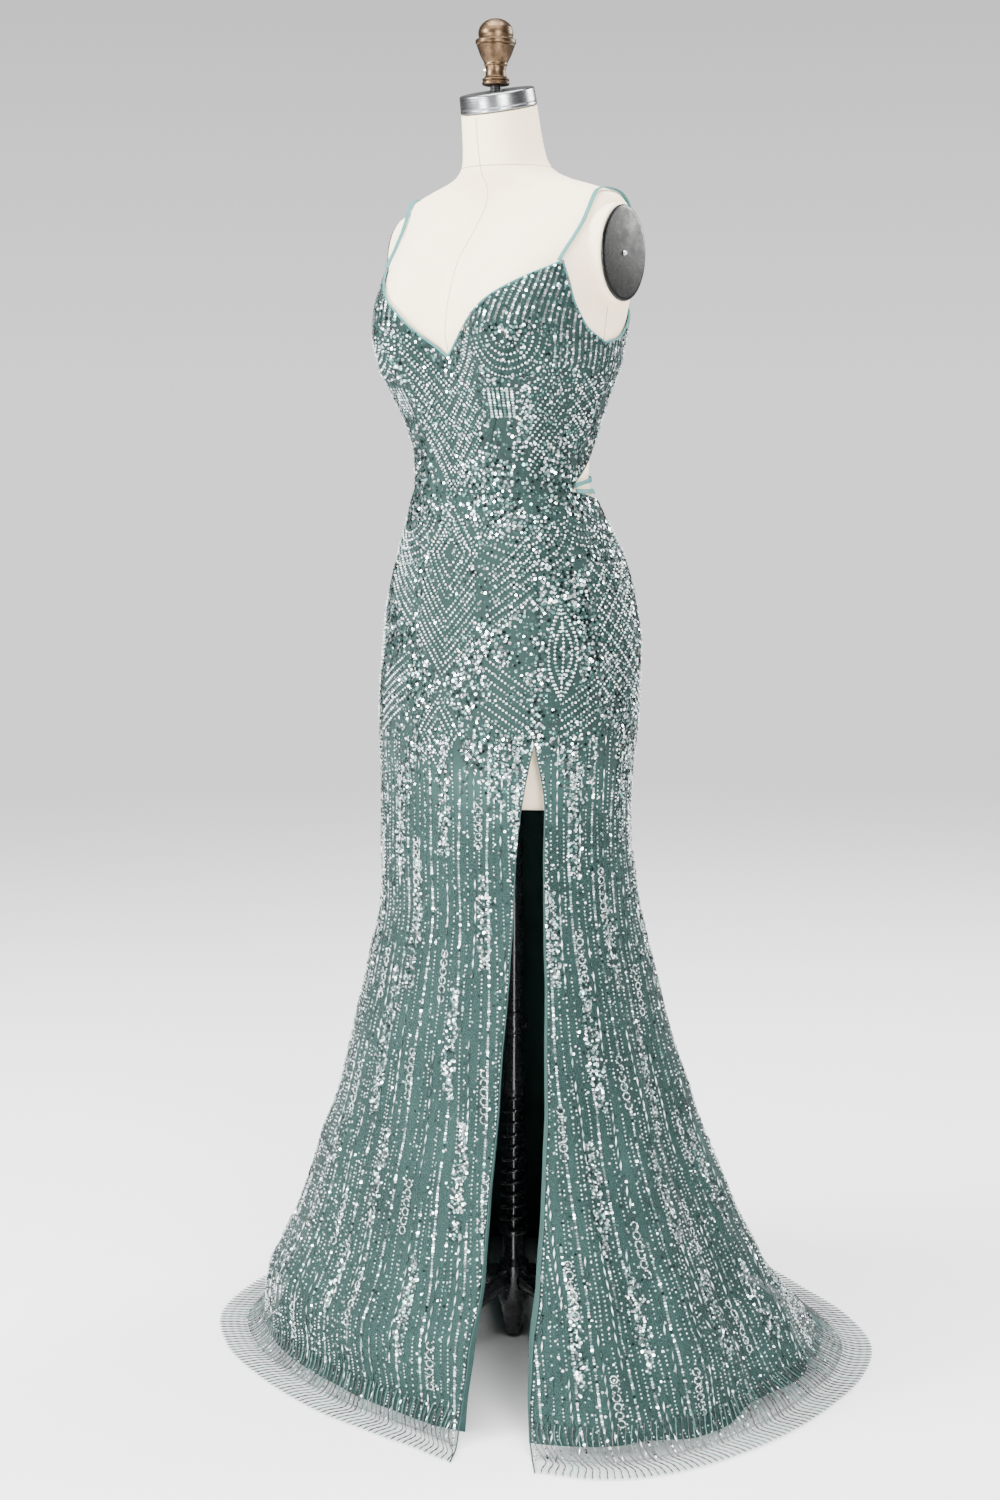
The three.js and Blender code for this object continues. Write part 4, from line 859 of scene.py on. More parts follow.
class GOWN_OT_form_metal(bpy.types.Operator):
    """The neck cap, the turned finial and the plates at the arms"""

    bl_idname = "gown.form_metal"
    bl_label = "Cap, finial and plates"

    def execute(self, context):
        steel = metal_material("brushed steel", (0.16, 0.165, 0.17), (0.36, 0.37, 0.38), 0.26,
                               (1, 1, 40), 26.0)
        plate_steel = metal_material("dark steel plate", (0.012, 0.0125, 0.0125),
                                     (0.06, 0.061, 0.058), 0.26, (1, 1, 1), 60.0)
        brass = metal_material("aged brass", (0.022, 0.014, 0.008), (0.15, 0.095, 0.055), 0.36,
                               (1, 1, 0.6), 70.0)
        cap = [(0.6, 0), (0.6, CAP_RADIUS - 1), (1.6, CAP_RADIUS), (4.5, CAP_RADIUS),
               (5.2, CAP_RADIUS - 0.7), (6, CAP_RADIUS - 0.2), (20.5, CAP_RADIUS - 1),
               (22, CAP_RADIUS - 2.2), (22.6, CAP_RADIUS - 5), (22.6, 0)]
        points, quads, fans = turned(cap, 96)
        tilt = np.array(Matrix.Rotation(math.radians(NECK_TILT), 3, "X"))
        points = points @ tilt.T + [0, CAP_BASE[0], CAP_BASE[1]]
        piece = make_mesh("neck_cap_turned", points, [quads, fans], steel, sharp=50)
        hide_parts("neck_cap")
        profile = [(0, 0), (0, 15), (1.2, 17), (4, 17), (4.6, 15.6), (5.6, 15.6), (6.2, 17), (8, 16.6),
                   (9.6, 13.6), (12, 12.8), (17, 12.4), (23, 13), (24.4, 14.6), (26.4, 14.2), (28, 15),
                   (32, 17.2), (37, 19.7), (44, 22.2), (47, 23.5), (48, 22.6), (49.2, 25), (54, 25),
                   (55.4, 22.5), (56.4, 20.6), (60, 21.6), (64, 21.5), (69, 20), (73, 17), (76.5, 12.5),
                   (78.6, 7.5), (79.5, 0)]
        profile = [(z + FINIAL_BASE, r) for z, r in profile]
        points, quads, fans = turned(profile, 64, y=FINIAL_Y)
        piece = make_mesh("finial_turned", points, [quads, fans], brass, sharp=60)
        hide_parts("finial")
        c, s = circle(80)
        run = np.array([(0, -1.5), (0.3, -0.4), (1.4, 0), (2.2, -0.5), (2.8, -2.2), (3.0, -5)])
        for side, label in ((1, "left"), (-1, "right")):
            x = np.broadcast_to(side * (PLATE["x"] + run[:, :1]), (len(run), len(c)))
            y = PLATE["y"] + c * (PLATE["half_width"] + run[:, 1:])
            z = PLATE["z"] + s * (PLATE["half_height"] + run[:, 1:])
            points, quads, fans = solid_of_rings(np.stack([x, y, z], -1))
            piece = make_mesh(f"arm_plate_rolled_{label}", points, [quads, fans],
                              plate_steel, sharp=60)
            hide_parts(f"arm_plate_{label}")
        return {"FINISHED"}


class GOWN_OT_stand(bpy.types.Operator):
    """The black iron stand: tube, clamp, socket, coil spring, hub and bowed legs"""

    bl_idname = "gown.stand"
    bl_label = "Stand"

    def execute(self, context):
        iron = metal_material("black lacquered iron", (0.008, 0.009, 0.010),
                              (0.025, 0.027, 0.030), 0.24, (1, 1, 1), 90.0, metallic=0.2)
        set_values(iron.node_tree.nodes["Principled BSDF"], Coat_Weight=1.0, Coat_Roughness=0.08)

        def stand_piece(name, bodies, *nodes):
            """Adds a piece of the stand, moved to the pole's place."""
            points, faces = joined(bodies)
            piece = make_mesh(name, points + [0, POLE_Y, 0], faces, iron, sharp=50)
            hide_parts(*nodes)

        tube_ends = CLAMP_Z + 0.3, FORM_BOTTOM - 0.3
        profile = [(tube_ends[0], 0), (tube_ends[0], 11), (tube_ends[1], 11), (tube_ends[1], 0)]
        stand_piece("pole_tube", [turned(profile, 40)], "pole")
        low = CLAMP_Z - 30
        profile = [(low, 0), (low, 12), (low + 3, 14), (low + 8, 14), (low + 9, 13.2), (low + 21, 13.2),
                   (low + 22, 14), (CLAMP_Z - 3, 14), (CLAMP_Z, 12), (CLAMP_Z, 0)]
        stand_piece("clamp_ring", [turned(profile, 40)], "clamp_collar")
        knob = turned([(14.3, 0), (14.3, 3), (18.5, 2.6), (19.2, 3.4), (21, 4.5), (25, 4.5), (27, 3.4),
                       (27.8, 0)], 28)
        spin = np.array(Matrix.Rotation(math.radians(90), 3, "Y"))
        swing = np.array(Matrix.Rotation(math.radians(-10), 3, "Z"))
        knob = (knob[0] @ spin.T @ swing.T + [0, 0, CLAMP_Z - 15], knob[1], knob[2])
        stand_piece("clamp_knob", [knob], "clamp_handle")
        top = SPRING["top"]
        profile = [(top + 0.3, 0), (top + 0.3, 15.5), (top + 4, 16), (top + 8, 15.2), (top + 14, 14.6),
                   (top + 40, 13), (low - 4, 11.2), (low - 0.3, 10.6), (low - 0.3, 0)]
        stand_piece("bell_turned", [turned(profile, 40)], "bell_socket")
        steps = SPRING["turns"] * 30
        t = np.linspace(0, 1, steps + 1)
        turn = 2 * np.pi * SPRING["turns"] * t
        radius = SPRING["low"] + (SPRING["high"] - SPRING["low"]) * t
        rise = SPRING["bottom"] + 2.3 + (top - SPRING["bottom"] - 4.6) * t
        coil = np.stack([np.cos(turn) * radius, np.sin(turn) * radius, rise], -1)
        stand_piece("coil_spring", [tube(coil, SPRING["wire"], 8)], "spring")
        base = SPRING["bottom"]
        profile = [(6, 0), (6, 11), (16, 12), (26, 14), (40, 16), (52, 19.4), (56, 20), (104, 20),
                   (108, 17), (112, 14), (base - 8, 13.6), (base - 6, 14), (base - 5, 20.5),
                   (base, 20.5), (base + 1, 9), (top, 9), (top, 0)]
        stand_piece("hub_turned", [turned(profile, 40)], "base_hub")
        path = table("out z half_width half_height", [
            (HUB_RADIUS + 0.9, 84, 9, 15), (52, 80, 8, 11), (95, 66, 7.5, 9), (140, 44, 7, 8),
            (176, 24, 8, 8), (LEG_REACH - 12, 12, 10, 8)])
        out = np.linspace(path["out"][0], path["out"][-1], 26)
        row = {key: read(path, "out", key, out)[:, None]
               for key in ("z", "half_width", "half_height")}
        c, s = circle(14)
        sides = np.stack([np.broadcast_to(out[:, None], (26, 14)), c * row["half_width"],
                          row["z"] + s * row["half_height"]], -1)
        arm = solid_of_rings(sides)
        foot = turned([(0, 0), (0, 16), (1.5, 17), (6, 16.4), (10, 14.4), (12, 12), (12.4, 0)], 30)
        foot = (foot[0] + [LEG_REACH - 4, 0, 0], foot[1], foot[2])
        for leg in range(5):
            spin = np.array(Matrix.Rotation(math.radians(LEG_TURN + 72 * leg), 3, "Z"))
            bodies = [(p @ spin.T, q, f) for p, q, f in (arm, foot)]
            stand_piece(f"bowed_leg_{leg + 1}", bodies, f"base_leg_{leg + 1}")
        return {"FINISHED"}


# The gown

class GOWN_OT_lining(bpy.types.Operator):
    """The three lining panels under the tulle of the skirt"""

    bl_idname = "gown.lining"
    bl_label = "Lining"

    def execute(self, context):
        sizes, colours = context.scene.gown_sizes, context.scene.gown_colours
        plain = cloth_material("lining", tuple(colours.lining), 520.0, 0.0002, 0.55, 0.02, 0.14)

        def surface(angle, v):
            angle, v = np.broadcast_arrays(angle, v)
            return lining_point(angle, v)

        panels = [
            ("lining_shell_front_right", seam(-90), slit_right, 60, (0.60, 0.79), 0.35,
             "lining_front_right"),
            ("lining_shell_front_left", slit_left, seam(90), 28, (0.31, 0.83), 0.14,
             "lining_front_left"),
            ("lining_shell_back", seam(90), seam(270), 96, (1.16, 0.83), 0.58, "lining_back"),
        ]
        for name, left, right, columns, flat, area, old in panels:
            grid = cloth_grid(surface, left, right, level(LINING_TOP), level(LINING_FOOT), columns, 60,
                              curl=0.4)
            cloth_piece(name, grid, plain, sizes.lining_wall * 1000,
                        [old])
        return {"FINISHED"}


def hem_run():
    """Angles all round the hem, from one edge of the slit to the other, with the length of hem up to
    each: four steps to every tooth of its edge."""
    angle = np.linspace(slit_left(0.0) - 360, slit_right(0.0), 2400)
    ring = gown_point(angle, np.full(2400, -50.0))
    run = np.concatenate([[0], np.cumsum(np.linalg.norm(np.diff(ring, axis=0), axis=1))])
    even = np.arange(0, run[-1], HEM_TOOTH / 4)
    return np.interp(even, run, angle), even


class GOWN_OT_skirt(bpy.types.Operator):
    """The four tulle panels of the skirt and the sheer border that lies on the floor"""

    bl_idname = "gown.skirt"
    bl_label = "Skirt"

    def execute(self, context):
        sizes, colours = context.scene.gown_sizes, context.scene.gown_colours
        tulle = gown_tulle(colours)
        hem_v = -22.0
        panels = [
            ("skirt_shell_front_right", seam(-90), slit_right, 96, (0.69, 1.19), 0.51,
             "skirt_front_right"),
            ("skirt_shell_front_left", slit_left, seam(90), 40, (0.38, 1.21), 0.20, "skirt_front_left"),
            ("skirt_shell_back_left", seam(90), seam(180), 76, (0.73, 1.25), 0.40, "skirt_back_left"),
            ("skirt_shell_back_right", seam(-180), seam(-90), 76, (0.70, 1.23), 0.39,
             "skirt_back_right"),
        ]
        for name, left, right, columns, flat, area, old in panels:
            grid = cloth_grid(gown_point, left, right, skirt_top, level(hem_v), columns, 120)
            cloth_piece(name, grid, tulle, sizes.wall * 1000,
                        [old])
        angle, run = hem_run()
        angle, run = angle[None, :], run[None, :]
        v = np.linspace(hem_v + 3, -63, 11)[:, None]
        share = np.linspace(0, 1, 11)[:, None]
        point = gown_point(angle + 0 * v, v + 0 * angle)
        wave = run / HEM_TOOTH
        ripple = 1.1 + 0.9 * share * np.sin(2 * np.pi * wave)
        tooth = -3.4 * (1 - np.abs((wave % 1) * 2 - 1)) * ease((share - 0.8) / 0.2)
        away = point * [1, 1, 0]
        away /= np.linalg.norm(away, axis=-1, keepdims=True)
        lift = np.where(point[..., 2] < 6, ripple * share, 0.2)
        points = point + away * tooth[..., None] + np.array([0, 0, 1.0]) * lift[..., None]
        points = points.reshape(-1, 3)
        uv = np.stack([run + 0 * v, -v + 0 * run], -1).reshape(-1, 2)
        border = make_mesh("hem_border", points, [grid_faces(11, run.size)], tulle,
                           uv=uv, extra={"cover": np.full(len(points), HEM_COVER),
                                         "worked": np.zeros(len(points))})
        return {"FINISHED"}


class GOWN_OT_bodice(bpy.types.Operator):
    """The four panels of the bodice"""

    bl_idname = "gown.bodice"
    bl_label = "Bodice"

    def execute(self, context):
        sizes, colours = context.scene.gown_sizes, context.scene.gown_colours
        tulle = gown_tulle(colours)
        panels = [
            ("bodice_shell_centre", princess_right, princess, 64, 60, (0.19, 0.28), 0.039,
             "bodice_centre_front"),
            ("bodice_shell_side_left", princess, seam(90), 36, 60, (0.18, 0.29), 0.030,
             "bodice_side_front_left"),
            ("bodice_shell_side_right", seam(-90), princess_right, 36, 60, (0.18, 0.29), 0.030,
             "bodice_side_front_right"),
            ("bodice_shell_back", seam(90), seam(270), 96, 44, (0.42, 0.22), 0.058, "bodice_back"),
        ]
        for name, left, right, columns, rows, flat, area, old in panels:
            grid = cloth_grid(gown_point, left, right, bodice_top, bodice_bottom, columns, rows)
            cloth_piece(name, grid, tulle, sizes.wall * 1000,
                        [old])
        return {"FINISHED"}


def inside_form(x, y, z):
    """Whether a point is inside the form: its x within the form's half width, and its depth ahead of or
    behind the middle within the form's depth at its height and x.
    """
    c = {name: read(FORM, "z", name, z) for name in FORM if name != "z"}
    across = np.clip(np.abs(x) / c["half_width"], 0, 1) ** (c["power"] / 2)
    ahead = np.sqrt(1 - across * across)
    bell = cup_bells(x)
    front = c["front"] * ahead ** (2 / c["power"]) + c["cups"] * bell * ease(ahead / 0.45)
    back = c["back"] * ahead ** (2 / c["power"])
    depth = y - c["centre_y"]
    return (np.abs(x) < c["half_width"]) & np.where(depth < 0, -depth < front, depth < back)


class GOWN_OT_straps(bpy.types.Operator):
    """The two satin straps and the two ties across the open back"""

    bl_idname = "gown.straps"
    bl_label = "Straps and ties"

    def execute(self, context):
        colours = context.scene.gown_colours
        satin = satin_material(colours)
        c, s = circle(12, np.pi / 12)
        edge_x = np.sign(c) * np.abs(c) ** 0.5 * 3.0
        edge_out = np.sign(s) * np.abs(s) ** 0.7 * 0.8
        steps = 90
        t = np.linspace(0, 1, steps)
        swing = np.radians(8.2 + (195 - 8.2) * t)
        way = table("t x", [(0, 135), (0.25, 142), (0.5, 146), (0.75, 128), (1, 104)])
        x = read(way, "t", "x", t)
        out_y, out_z = -np.cos(swing), np.sin(swing)
        reach = np.zeros(steps)
        for edge in (-3, 0, 3):
            near, far = np.zeros(steps), np.full(steps, 200.0)
            for _ in range(30):
                half = (near + far) / 2
                inside = inside_form(x + edge, 5 + out_y * half, 1400 + out_z * half)
                near, far = np.where(inside, half, near), np.where(inside, far, half)
            reach = np.maximum(reach, near)
        for sign, label in ((1, "left"), (-1, "right")):
            off = (reach + 2.5)[:, None] + edge_out[None]
            rings = np.stack([sign * (x[:, None] + edge_x[None]), 5 + out_y[:, None] * off,
                              1400 + out_z[:, None] * off], -1)
            points, quads, fans = solid_of_rings(rings)
            piece = make_mesh(f"satin_strap_{label}", points, [quads, fans], satin)
            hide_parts(f"strap_{label}")
        t = np.linspace(0, 1, 130)
        angle = 87 + (273 - 87) * t
        spread = np.clip(np.sin(np.pi * t), 0, 1) ** 0.6
        for label, rise, sag in (("upper", 3.0, 10), ("lower", -3.0, -3)):
            middle = 1140.2 + rise + sag * spread + 0.35 * np.sin(t * 23)
            c, s = circle(12, np.pi / 12)
            up = np.sign(c) * np.abs(c) ** 0.5 * 2.85
            height = middle[:, None] + up[None] * (1 - 0.12 * np.sin(t * 31)[:, None])
            outer = form_point(angle[:, None], height, 4.4 - 0.8)
            ring = outer * 1.0
            away = outer * [1, 1, 0] - [0, -14, 0]
            away /= np.linalg.norm(away, axis=-1, keepdims=True)
            ring += away * (np.sign(s) * np.abs(s) ** 0.7 * 0.75)[None, :, None]
            points, quads, fans = solid_of_rings(ring)
            piece = make_mesh(f"satin_tie_{label}", points, [quads, fans], satin)
            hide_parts(f"waist_tie_{label}")
        return {"FINISHED"}


class GOWN_OT_bindings(bpy.types.Operator):
    """The bound upper edge, the rolled edge of the open back and the narrow hems of the slit"""

    bl_idname = "gown.bindings"
    bl_label = "Bound edges"

    def execute(self, context):
        colours = context.scene.gown_colours
        satin = satin_material(colours)

        def edge(angle, v, radius):
            """A rolled edge: a tube along the gown's outside."""
            point, _, _, out = frame_on(gown_point, angle, v)
            return tube(point - out * EDGE_SINK, radius, 8, outward=out)

        angle = np.concatenate([np.linspace(-180, -STRAP_ANGLE, 110),
                                np.linspace(-STRAP_ANGLE, 0, 60)[1:],
                                np.linspace(0, STRAP_ANGLE, 60)[1:],
                                np.linspace(STRAP_ANGLE, 180, 110)[1:]])
        bodies = [edge(angle, bodice_top(angle), 1.5)]
        points, faces = joined(bodies)
        make_mesh("neck_binding", points, faces, satin)
        rolled = cloth_material("rolled tulle edge", scaled(tuple(colours.tulle), 1.1), 500.0, 0.0003,
                                0.6, 0.02)
        bodies = []
        back = np.linspace(82, 278, 160)
        bodies.append(edge(back, bodice_bottom(back), 1.1))
        bodies.append(edge(back, skirt_top(back), 1.1))
        v = np.concatenate([np.linspace(834, -10, 200), np.linspace(-10, -60, 12)[1:]])
        bodies.append(edge(slit_right(v) - 0.1, v, 0.9))
        bodies.append(edge(slit_left(v) + 0.1, v, 0.9))
        points, faces = joined(bodies)
        make_mesh("rolled_edges", points, faces, rolled)
        return {"FINISHED"}


# Rings of feathered clusters round the skirt: the height, the degrees from one to the next, the first
# one's place and the length of each.
SPRAYS = table("height step start tall", [
    (745, 30, 5, 140), (590, 30, 20, 160), (430, 26, 8, 180), (270, 22, 17, 160), (125, 20, 3, 110),
])

# What is sewn on. Metals and glass are lit strongly, so their tints are what they give back of it. The
# dark tint is partly the real colour of dark beads and threads and partly painted reflection: the
# near-black that silver sequins show where they mirror dark surroundings.

SILVER = (0.34, 0.405, 0.40)
WHITE = (0.90, 0.95, 0.94)
AQUA = (0.12, 0.25, 0.235)
TEAL = (0.04, 0.098, 0.09)
# Dark tint: real dark beads and threads, and painted dark reflection on the sequins.
DARK_TINT_AND_PAINTED_REFLECTION = (0.010, 0.017, 0.017)


def girth(v):
    """Millimetres of cloth to one degree, round the gown at a height."""
    levels = np.arange(-60, 1420, 20.0)
    rings = gown_point(np.linspace(-180, 180, 121)[None], levels[:, None])
    return np.interp(v, levels, np.linalg.norm(np.diff(rings, axis=1), axis=-1).sum(1) / 360)


def on_cloth(spots, margin=1.5):
    """The spots that lie on cloth: on the skirt and out of its slit, or on the bodice."""
    a, v = turn_from(spots[:, 0], 0), spots[:, 1]
    pad = margin / 3.0
    in_slit = (v < SLIT_TOP + 2) & (a > slit_right(v) - pad) & (a < slit_left(v) + pad)
    skirt = (v < skirt_top(a) - margin) & ~in_slit
    bodice = (v > bodice_bottom(a) + margin) & (v < bodice_top(a) - margin)
    return spots[skirt | bodice]


def tinted(count, rng, shares):
    """A tint for each of many sequins, drawn from a list of colours and shares."""
    colours = np.array([c for c, _ in shares])
    chance = np.array([share for _, share in shares], float)
    pick = rng.choice(len(colours), size=count, p=chance / chance.sum())
    return colours[pick] * rng.uniform(0.75, 1.15, (count, 1))


def sew_sequins(name, spots, radius, shares, rng, tilt=0.24, lift=0.7):
    """Flat six-sided discs on the cloth, each turned and tilted a little at random."""
    foil = shared("sequin foil", lambda: bead_material("sequin foil", 0.8, 0.16))
    count = len(spots)
    point, along, up, out = frame_on(gown_point, spots[:, 0], spots[:, 1])
    normal = out + along * rng.normal(0, tilt, (count, 1)) + up * rng.normal(0, tilt, (count, 1))
    normal /= np.linalg.norm(normal, axis=1, keepdims=True)
    first = along - normal * (along * normal).sum(1, keepdims=True)
    first /= np.linalg.norm(first, axis=1, keepdims=True)
    second = np.cross(normal, first)
    turn = rng.uniform(0, 2 * np.pi, (count, 1)) + np.linspace(0, 2 * np.pi, 6, endpoint=False)
    size = (radius * rng.uniform(0.8, 1.15, count))[:, None, None]
    rim = np.cos(turn)[..., None] * first[:, None] + np.sin(turn)[..., None] * second[:, None]
    points = ((point + out * lift)[:, None] + rim * size).reshape(-1, 3)
    tint = np.repeat(tinted(count, rng, shares), 6, axis=0)
    make_mesh(name, points, [np.arange(count * 6).reshape(count, 6)], foil,
              smooth=False, tint=tint)


def sew_beads(name, spots, half_length, radius, shares, rng, lift=0.9):
    """Small eight-sided beads on the cloth. Each is stretched along its heading, which is an angle on
    the cloth from the sideways direction, so that one shape gives round and bugle beads."""
    glass = shared("glass bead", lambda: bead_material("glass bead", 0.2, 0.1))
    point, along, up, out = frame_on(gown_point, spots[:, 0], spots[:, 1])
    turn = spots[:, 2:3]
    ahead = along * np.cos(turn) + up * np.sin(turn)
    side = np.cross(out, ahead)
    tips = np.array([[1, 0, 0], [-1, 0, 0], [0, 1, 0], [0, -1, 0], [0, 0, 1], [0, 0, -1]], float)
    faces = np.array([[0, 2, 4], [2, 1, 4], [1, 3, 4], [3, 0, 4], [2, 0, 5], [1, 2, 5], [3, 1, 5],
                      [0, 3, 5]])
    half = np.broadcast_to(np.asarray(half_length, float), len(spots))[:, None, None]
    body = (tips[None, :, :1] * ahead[:, None] * half + tips[None, :, 1:2] * side[:, None] * radius
            + tips[None, :, 2:] * out[:, None] * radius)
    points = ((point + out * lift)[:, None] + body).reshape(-1, 3)
    count = len(spots)
    faces = (faces[None] + 6 * np.arange(count)[:, None, None]).reshape(-1, 3)
    tint = np.repeat(tinted(count, rng, shares), 6, axis=0)
    make_mesh(name, points, [faces], glass, tint=tint)


def walk(line, step):
    """Spots at an even step along a line of points, with the heading at each."""
    line = np.asarray(line, float)
    gaps = np.linalg.norm(np.diff(line, axis=0), axis=1)
    length = np.concatenate([[0], np.cumsum(gaps)])
    at = np.linspace(0, length[-1], max(2, int(round(length[-1] / step)) + 1))
    x, y = np.interp(at, length, line[:, 0]), np.interp(at, length, line[:, 1])
    return np.stack([x, y, np.arctan2(np.gradient(y), np.gradient(x))], 1)


def rows_of(lines, step):
    """The spots of several lines, one line after another."""
    return np.concatenate([walk(line, step) for line in lines])


def arc(x, y, radius, start, end):
    """Points of a circle's arc between two turns in degrees."""
    turn = np.radians(np.linspace(start, end, 24))
    return np.stack([x + radius * np.cos(turn), y + radius * np.sin(turn)], 1)


def placed(motif, angle, v, flip=1):
    """A motif drawn in millimetres, laid on the gown round one spot: sideways millimetres become
    degrees by the gown's own girth there. A flip of -1 mirrors it."""
    near = gown_point(np.array([angle - 2.0, angle + 2.0]), np.array([v, v]))
    to_mm = np.linalg.norm(near[1] - near[0]) / 4
    spots = motif.copy()
    spots[:, 0] = angle + flip * spots[:, 0] / to_mm
    spots[:, 1] = v + spots[:, 1]
    if flip < 0:
        spots[:, 2] = np.pi - spots[:, 2]
    return spots


def twice(lines, apart=5.0):
    """Each line with a second one beside it, shifted down."""
    lines = [np.asarray(line, float) for line in lines]
    return lines + [line - [0, apart] for line in lines]


def diamonds(width, height, count, pitch=9.0):
    """Nested diamonds, each smaller by the same step."""
    lines = []
    for n in range(count):
        w, h = width - pitch * n, height - pitch * 1.35 * n
        lines.append([(-w, 0), (0, h), (w, 0), (0, -h), (-w, 0)])
    return lines


def chevrons(width, rise, pitch, count):
    """Nested V shapes, one above another."""
    return [[(-width, n * pitch + rise), (0, n * pitch), (width, n * pitch + rise)]
            for n in range(count)]


def slanted(width, rise, pitch, count):
    """Parallel slanting rows."""
    return [[(-width, n * pitch), (width, n * pitch + rise)] for n in range(count)]


def fans(radius, count, pitch=8.0, start=200, end=340):
    """Nested arcs about one middle, opening upwards."""
    return [arc(0, 0, radius - pitch * n, start, end) for n in range(count)]


def leaf(width, height):
    """A pointed upright leaf from two bowed lines, with a smaller one and a rib in it."""
    t = np.linspace(-1, 1, 17)
    lines = [[(0, -height), (0, height)]]
    for share in (1.0, 0.6):
        bow = width * share * (1 - t * t)
        lines += [np.stack([bow, t * height * share], 1), np.stack([-bow, t * height * share], 1)]
    return lines


def lattice(width, height, pitch, lean):
    """Two sets of slanting rows that cross, cut to a rectangle."""
    lines = []
    for sign in (1, -1):
        for n in np.arange(-height - width * lean, height + width * lean, pitch):
            x = np.linspace(-width, width, 40)
            y = n + sign * lean * x
            keep = np.abs(y) <= height
            if keep.sum() > 2:
                lines.append(np.stack([x[keep], y[keep]], 1))
    return lines


def worked_rows(step):
    """All rows of round beads on the bodice and the hip, as spots."""
    spots = []

    def lay(lines, angle, v, flip=1):
        spots.append(placed(rows_of(lines, step), angle, v, flip))

    for base in (0, 180):
        lay(diamonds(44, 58, 4, 10), base, 1062)
        lay(chevrons(50, 50, 11, 8), base, 912)
        lay(diamonds(34, 44, 3, 10), base, 842)
        for side in (1, -1):
            lay(fans(74, 5, 10, 192, 335), base + side * 37, 1116, side)
            lay(slanted(30, 44, 11, 7), base + side * 31, 972, side)
            lay(twice(leaf(18, 54), 4.6), base + side * 54, 946, side)
            lay(slanted(28, -36, 11, 7), base + side * 29, 868, side)
            lay(slanted(22, 30, 10, 6), base + side * 64, 832, side)
    for side in (1, -1):
        lay(lattice(44, 84, 24, 0.9), side * 90, 964, side)
        lay(fans(44, 3, 10, 200, 340), side * 80, 1114, side)
        lay(fans(50, 5, 8.5, 188, 352), side * 39, 1326, side)
        lay(slanted(17, 54, 12, 10), side * 61, 1158, side)
        lay(slanted(34, 50, 12, 13), side * 132, 1176, side)
        lay(lattice(24, 40, 18, 0.8), side * 84, 1240, side)
    lay(twice(chevrons(46, 64, 21, 7), 6.5), 0, 1142)
    return on_cloth(np.concatenate(spots), 2.2)


def cup_stripes():
    """The upright sequin stripes below the upper edge and the six short bars under each cup."""
    stripes = []
    for angle in np.arange(-177, 180, 3.1):
        top = float(bodice_top(np.array(angle)))
        low = 1338 if abs(angle) < 60 else 1286 if abs(angle) < 100 else top - 66
        v = np.arange(top - 2, low, -3.3)
        stripes.append(np.stack([angle + 0.3 * np.sin(v / 12), v], 1))
    for side in (1, -1):
        for n in range(6):
            v = np.arange(1262, 1226, -3.3)
            stripes.append(np.stack([side * (26 + 2.7 * n) + 0 * v, v], 1))
    return on_cloth(np.concatenate(stripes), 1.0)


class Kept:
    """Remembers, in cells of one degree by three millimetres, where rows are sewn, so that the
    scattered sequins leave them clear."""

    def __init__(self, spots):
        self.taken = np.zeros((362, 500), bool)
        for da, dv in ((0, 0), (1.2, 0), (-1.2, 0), (0, 3.4), (0, -3.4), (0.8, 2.2), (-0.8, -2.2)):
            i, j = self.cell(spots[:, 0] + da, spots[:, 1] + dv)
            self.taken[i, j] = True

    def cell(self, angle, v):
        """The column and row of the cell that each spot lies in."""
        i = np.clip(np.floor(turn_from(angle, 0) + 180).astype(int), 0, 361)
        return i, np.clip(((v + 70) / 3).astype(int), 0, 499)

    def clear(self, spots):
        """The spots whose cells are free."""
        i, j = self.cell(spots[:, 0], spots[:, 1])
        return spots[~self.taken[i, j]]


def scatter(low, high, gap, rng):
    """Spots at about one gap apart all over the gown between two heights: rows of even spots, each
    row shifted by half a step, all moved a little at random."""
    levels = np.arange(low, high, gap * 0.87)
    rows = []
    for n, (level, wide) in enumerate(zip(levels, girth(levels) * 360)):
        count = int(wide / gap)
        place = np.arange(count) + 0.5 * (n % 2) + rng.uniform(-0.42, 0.42, count)
        angle = place * 360 / count - 180
        rows.append(np.stack([angle, level + rng.uniform(-0.42, 0.42, count) * gap], 1))
    return on_cloth(np.concatenate(rows), 1.2)


class GOWN_OT_sequins(bpy.types.Operator):
    """The field of sequins scattered round the worked rows, thinning out below the hip"""

    bl_idname = "gown.sequins"
    bl_label = "Scattered sequins"

    def execute(self, context):
        sizes = context.scene.gown_sizes
        rng = np.random.default_rng(SEED)
        rows = worked_rows(sizes.bead_gap * 1000)
        kept = Kept(np.concatenate([rows[:, :2], cup_stripes()]))
        radius = sizes.sequin * 1000
        # The dark share paints the dark reflections of sequins that mirror dark surroundings.
        shares = [(SILVER, 0.22), (WHITE, 0.22), (AQUA, 0.16), (TEAL, 0.16), (DARK_TINT_AND_PAINTED_REFLECTION, 0.24)]
        for low, high, label in ((740, 1131, "hip"), (1131, 1412, "bodice")):
            spots = kept.clear(scatter(low, high, sizes.sequin_gap * 1000, rng))
            a, v = np.radians(spots[:, 0]), spots[:, 1]
            patch = (np.sin(7 * a + v / 31) + np.sin(11 * a - v / 23 + 1.3)
                     + np.sin(5 * a + v / 47 + 0.6))
            tongue = 800 + 34 * np.sin(9 * a + 0.8) + 16 * np.sin(23 * a)
            chance = np.where(patch > -0.7, 0.95, 0.38) * ease((v - tongue + 30) / 60)
            spots = spots[rng.uniform(size=len(spots)) < chance]
            sew_sequins(f"scattered_sequins_{label}", spots, radius, shares, rng)
        dust = scatter(20, 800, 15.0, rng)
        sew_sequins("scattered_sequins_skirt", dust, radius * 0.8, shares, rng)
        return {"FINISHED"}


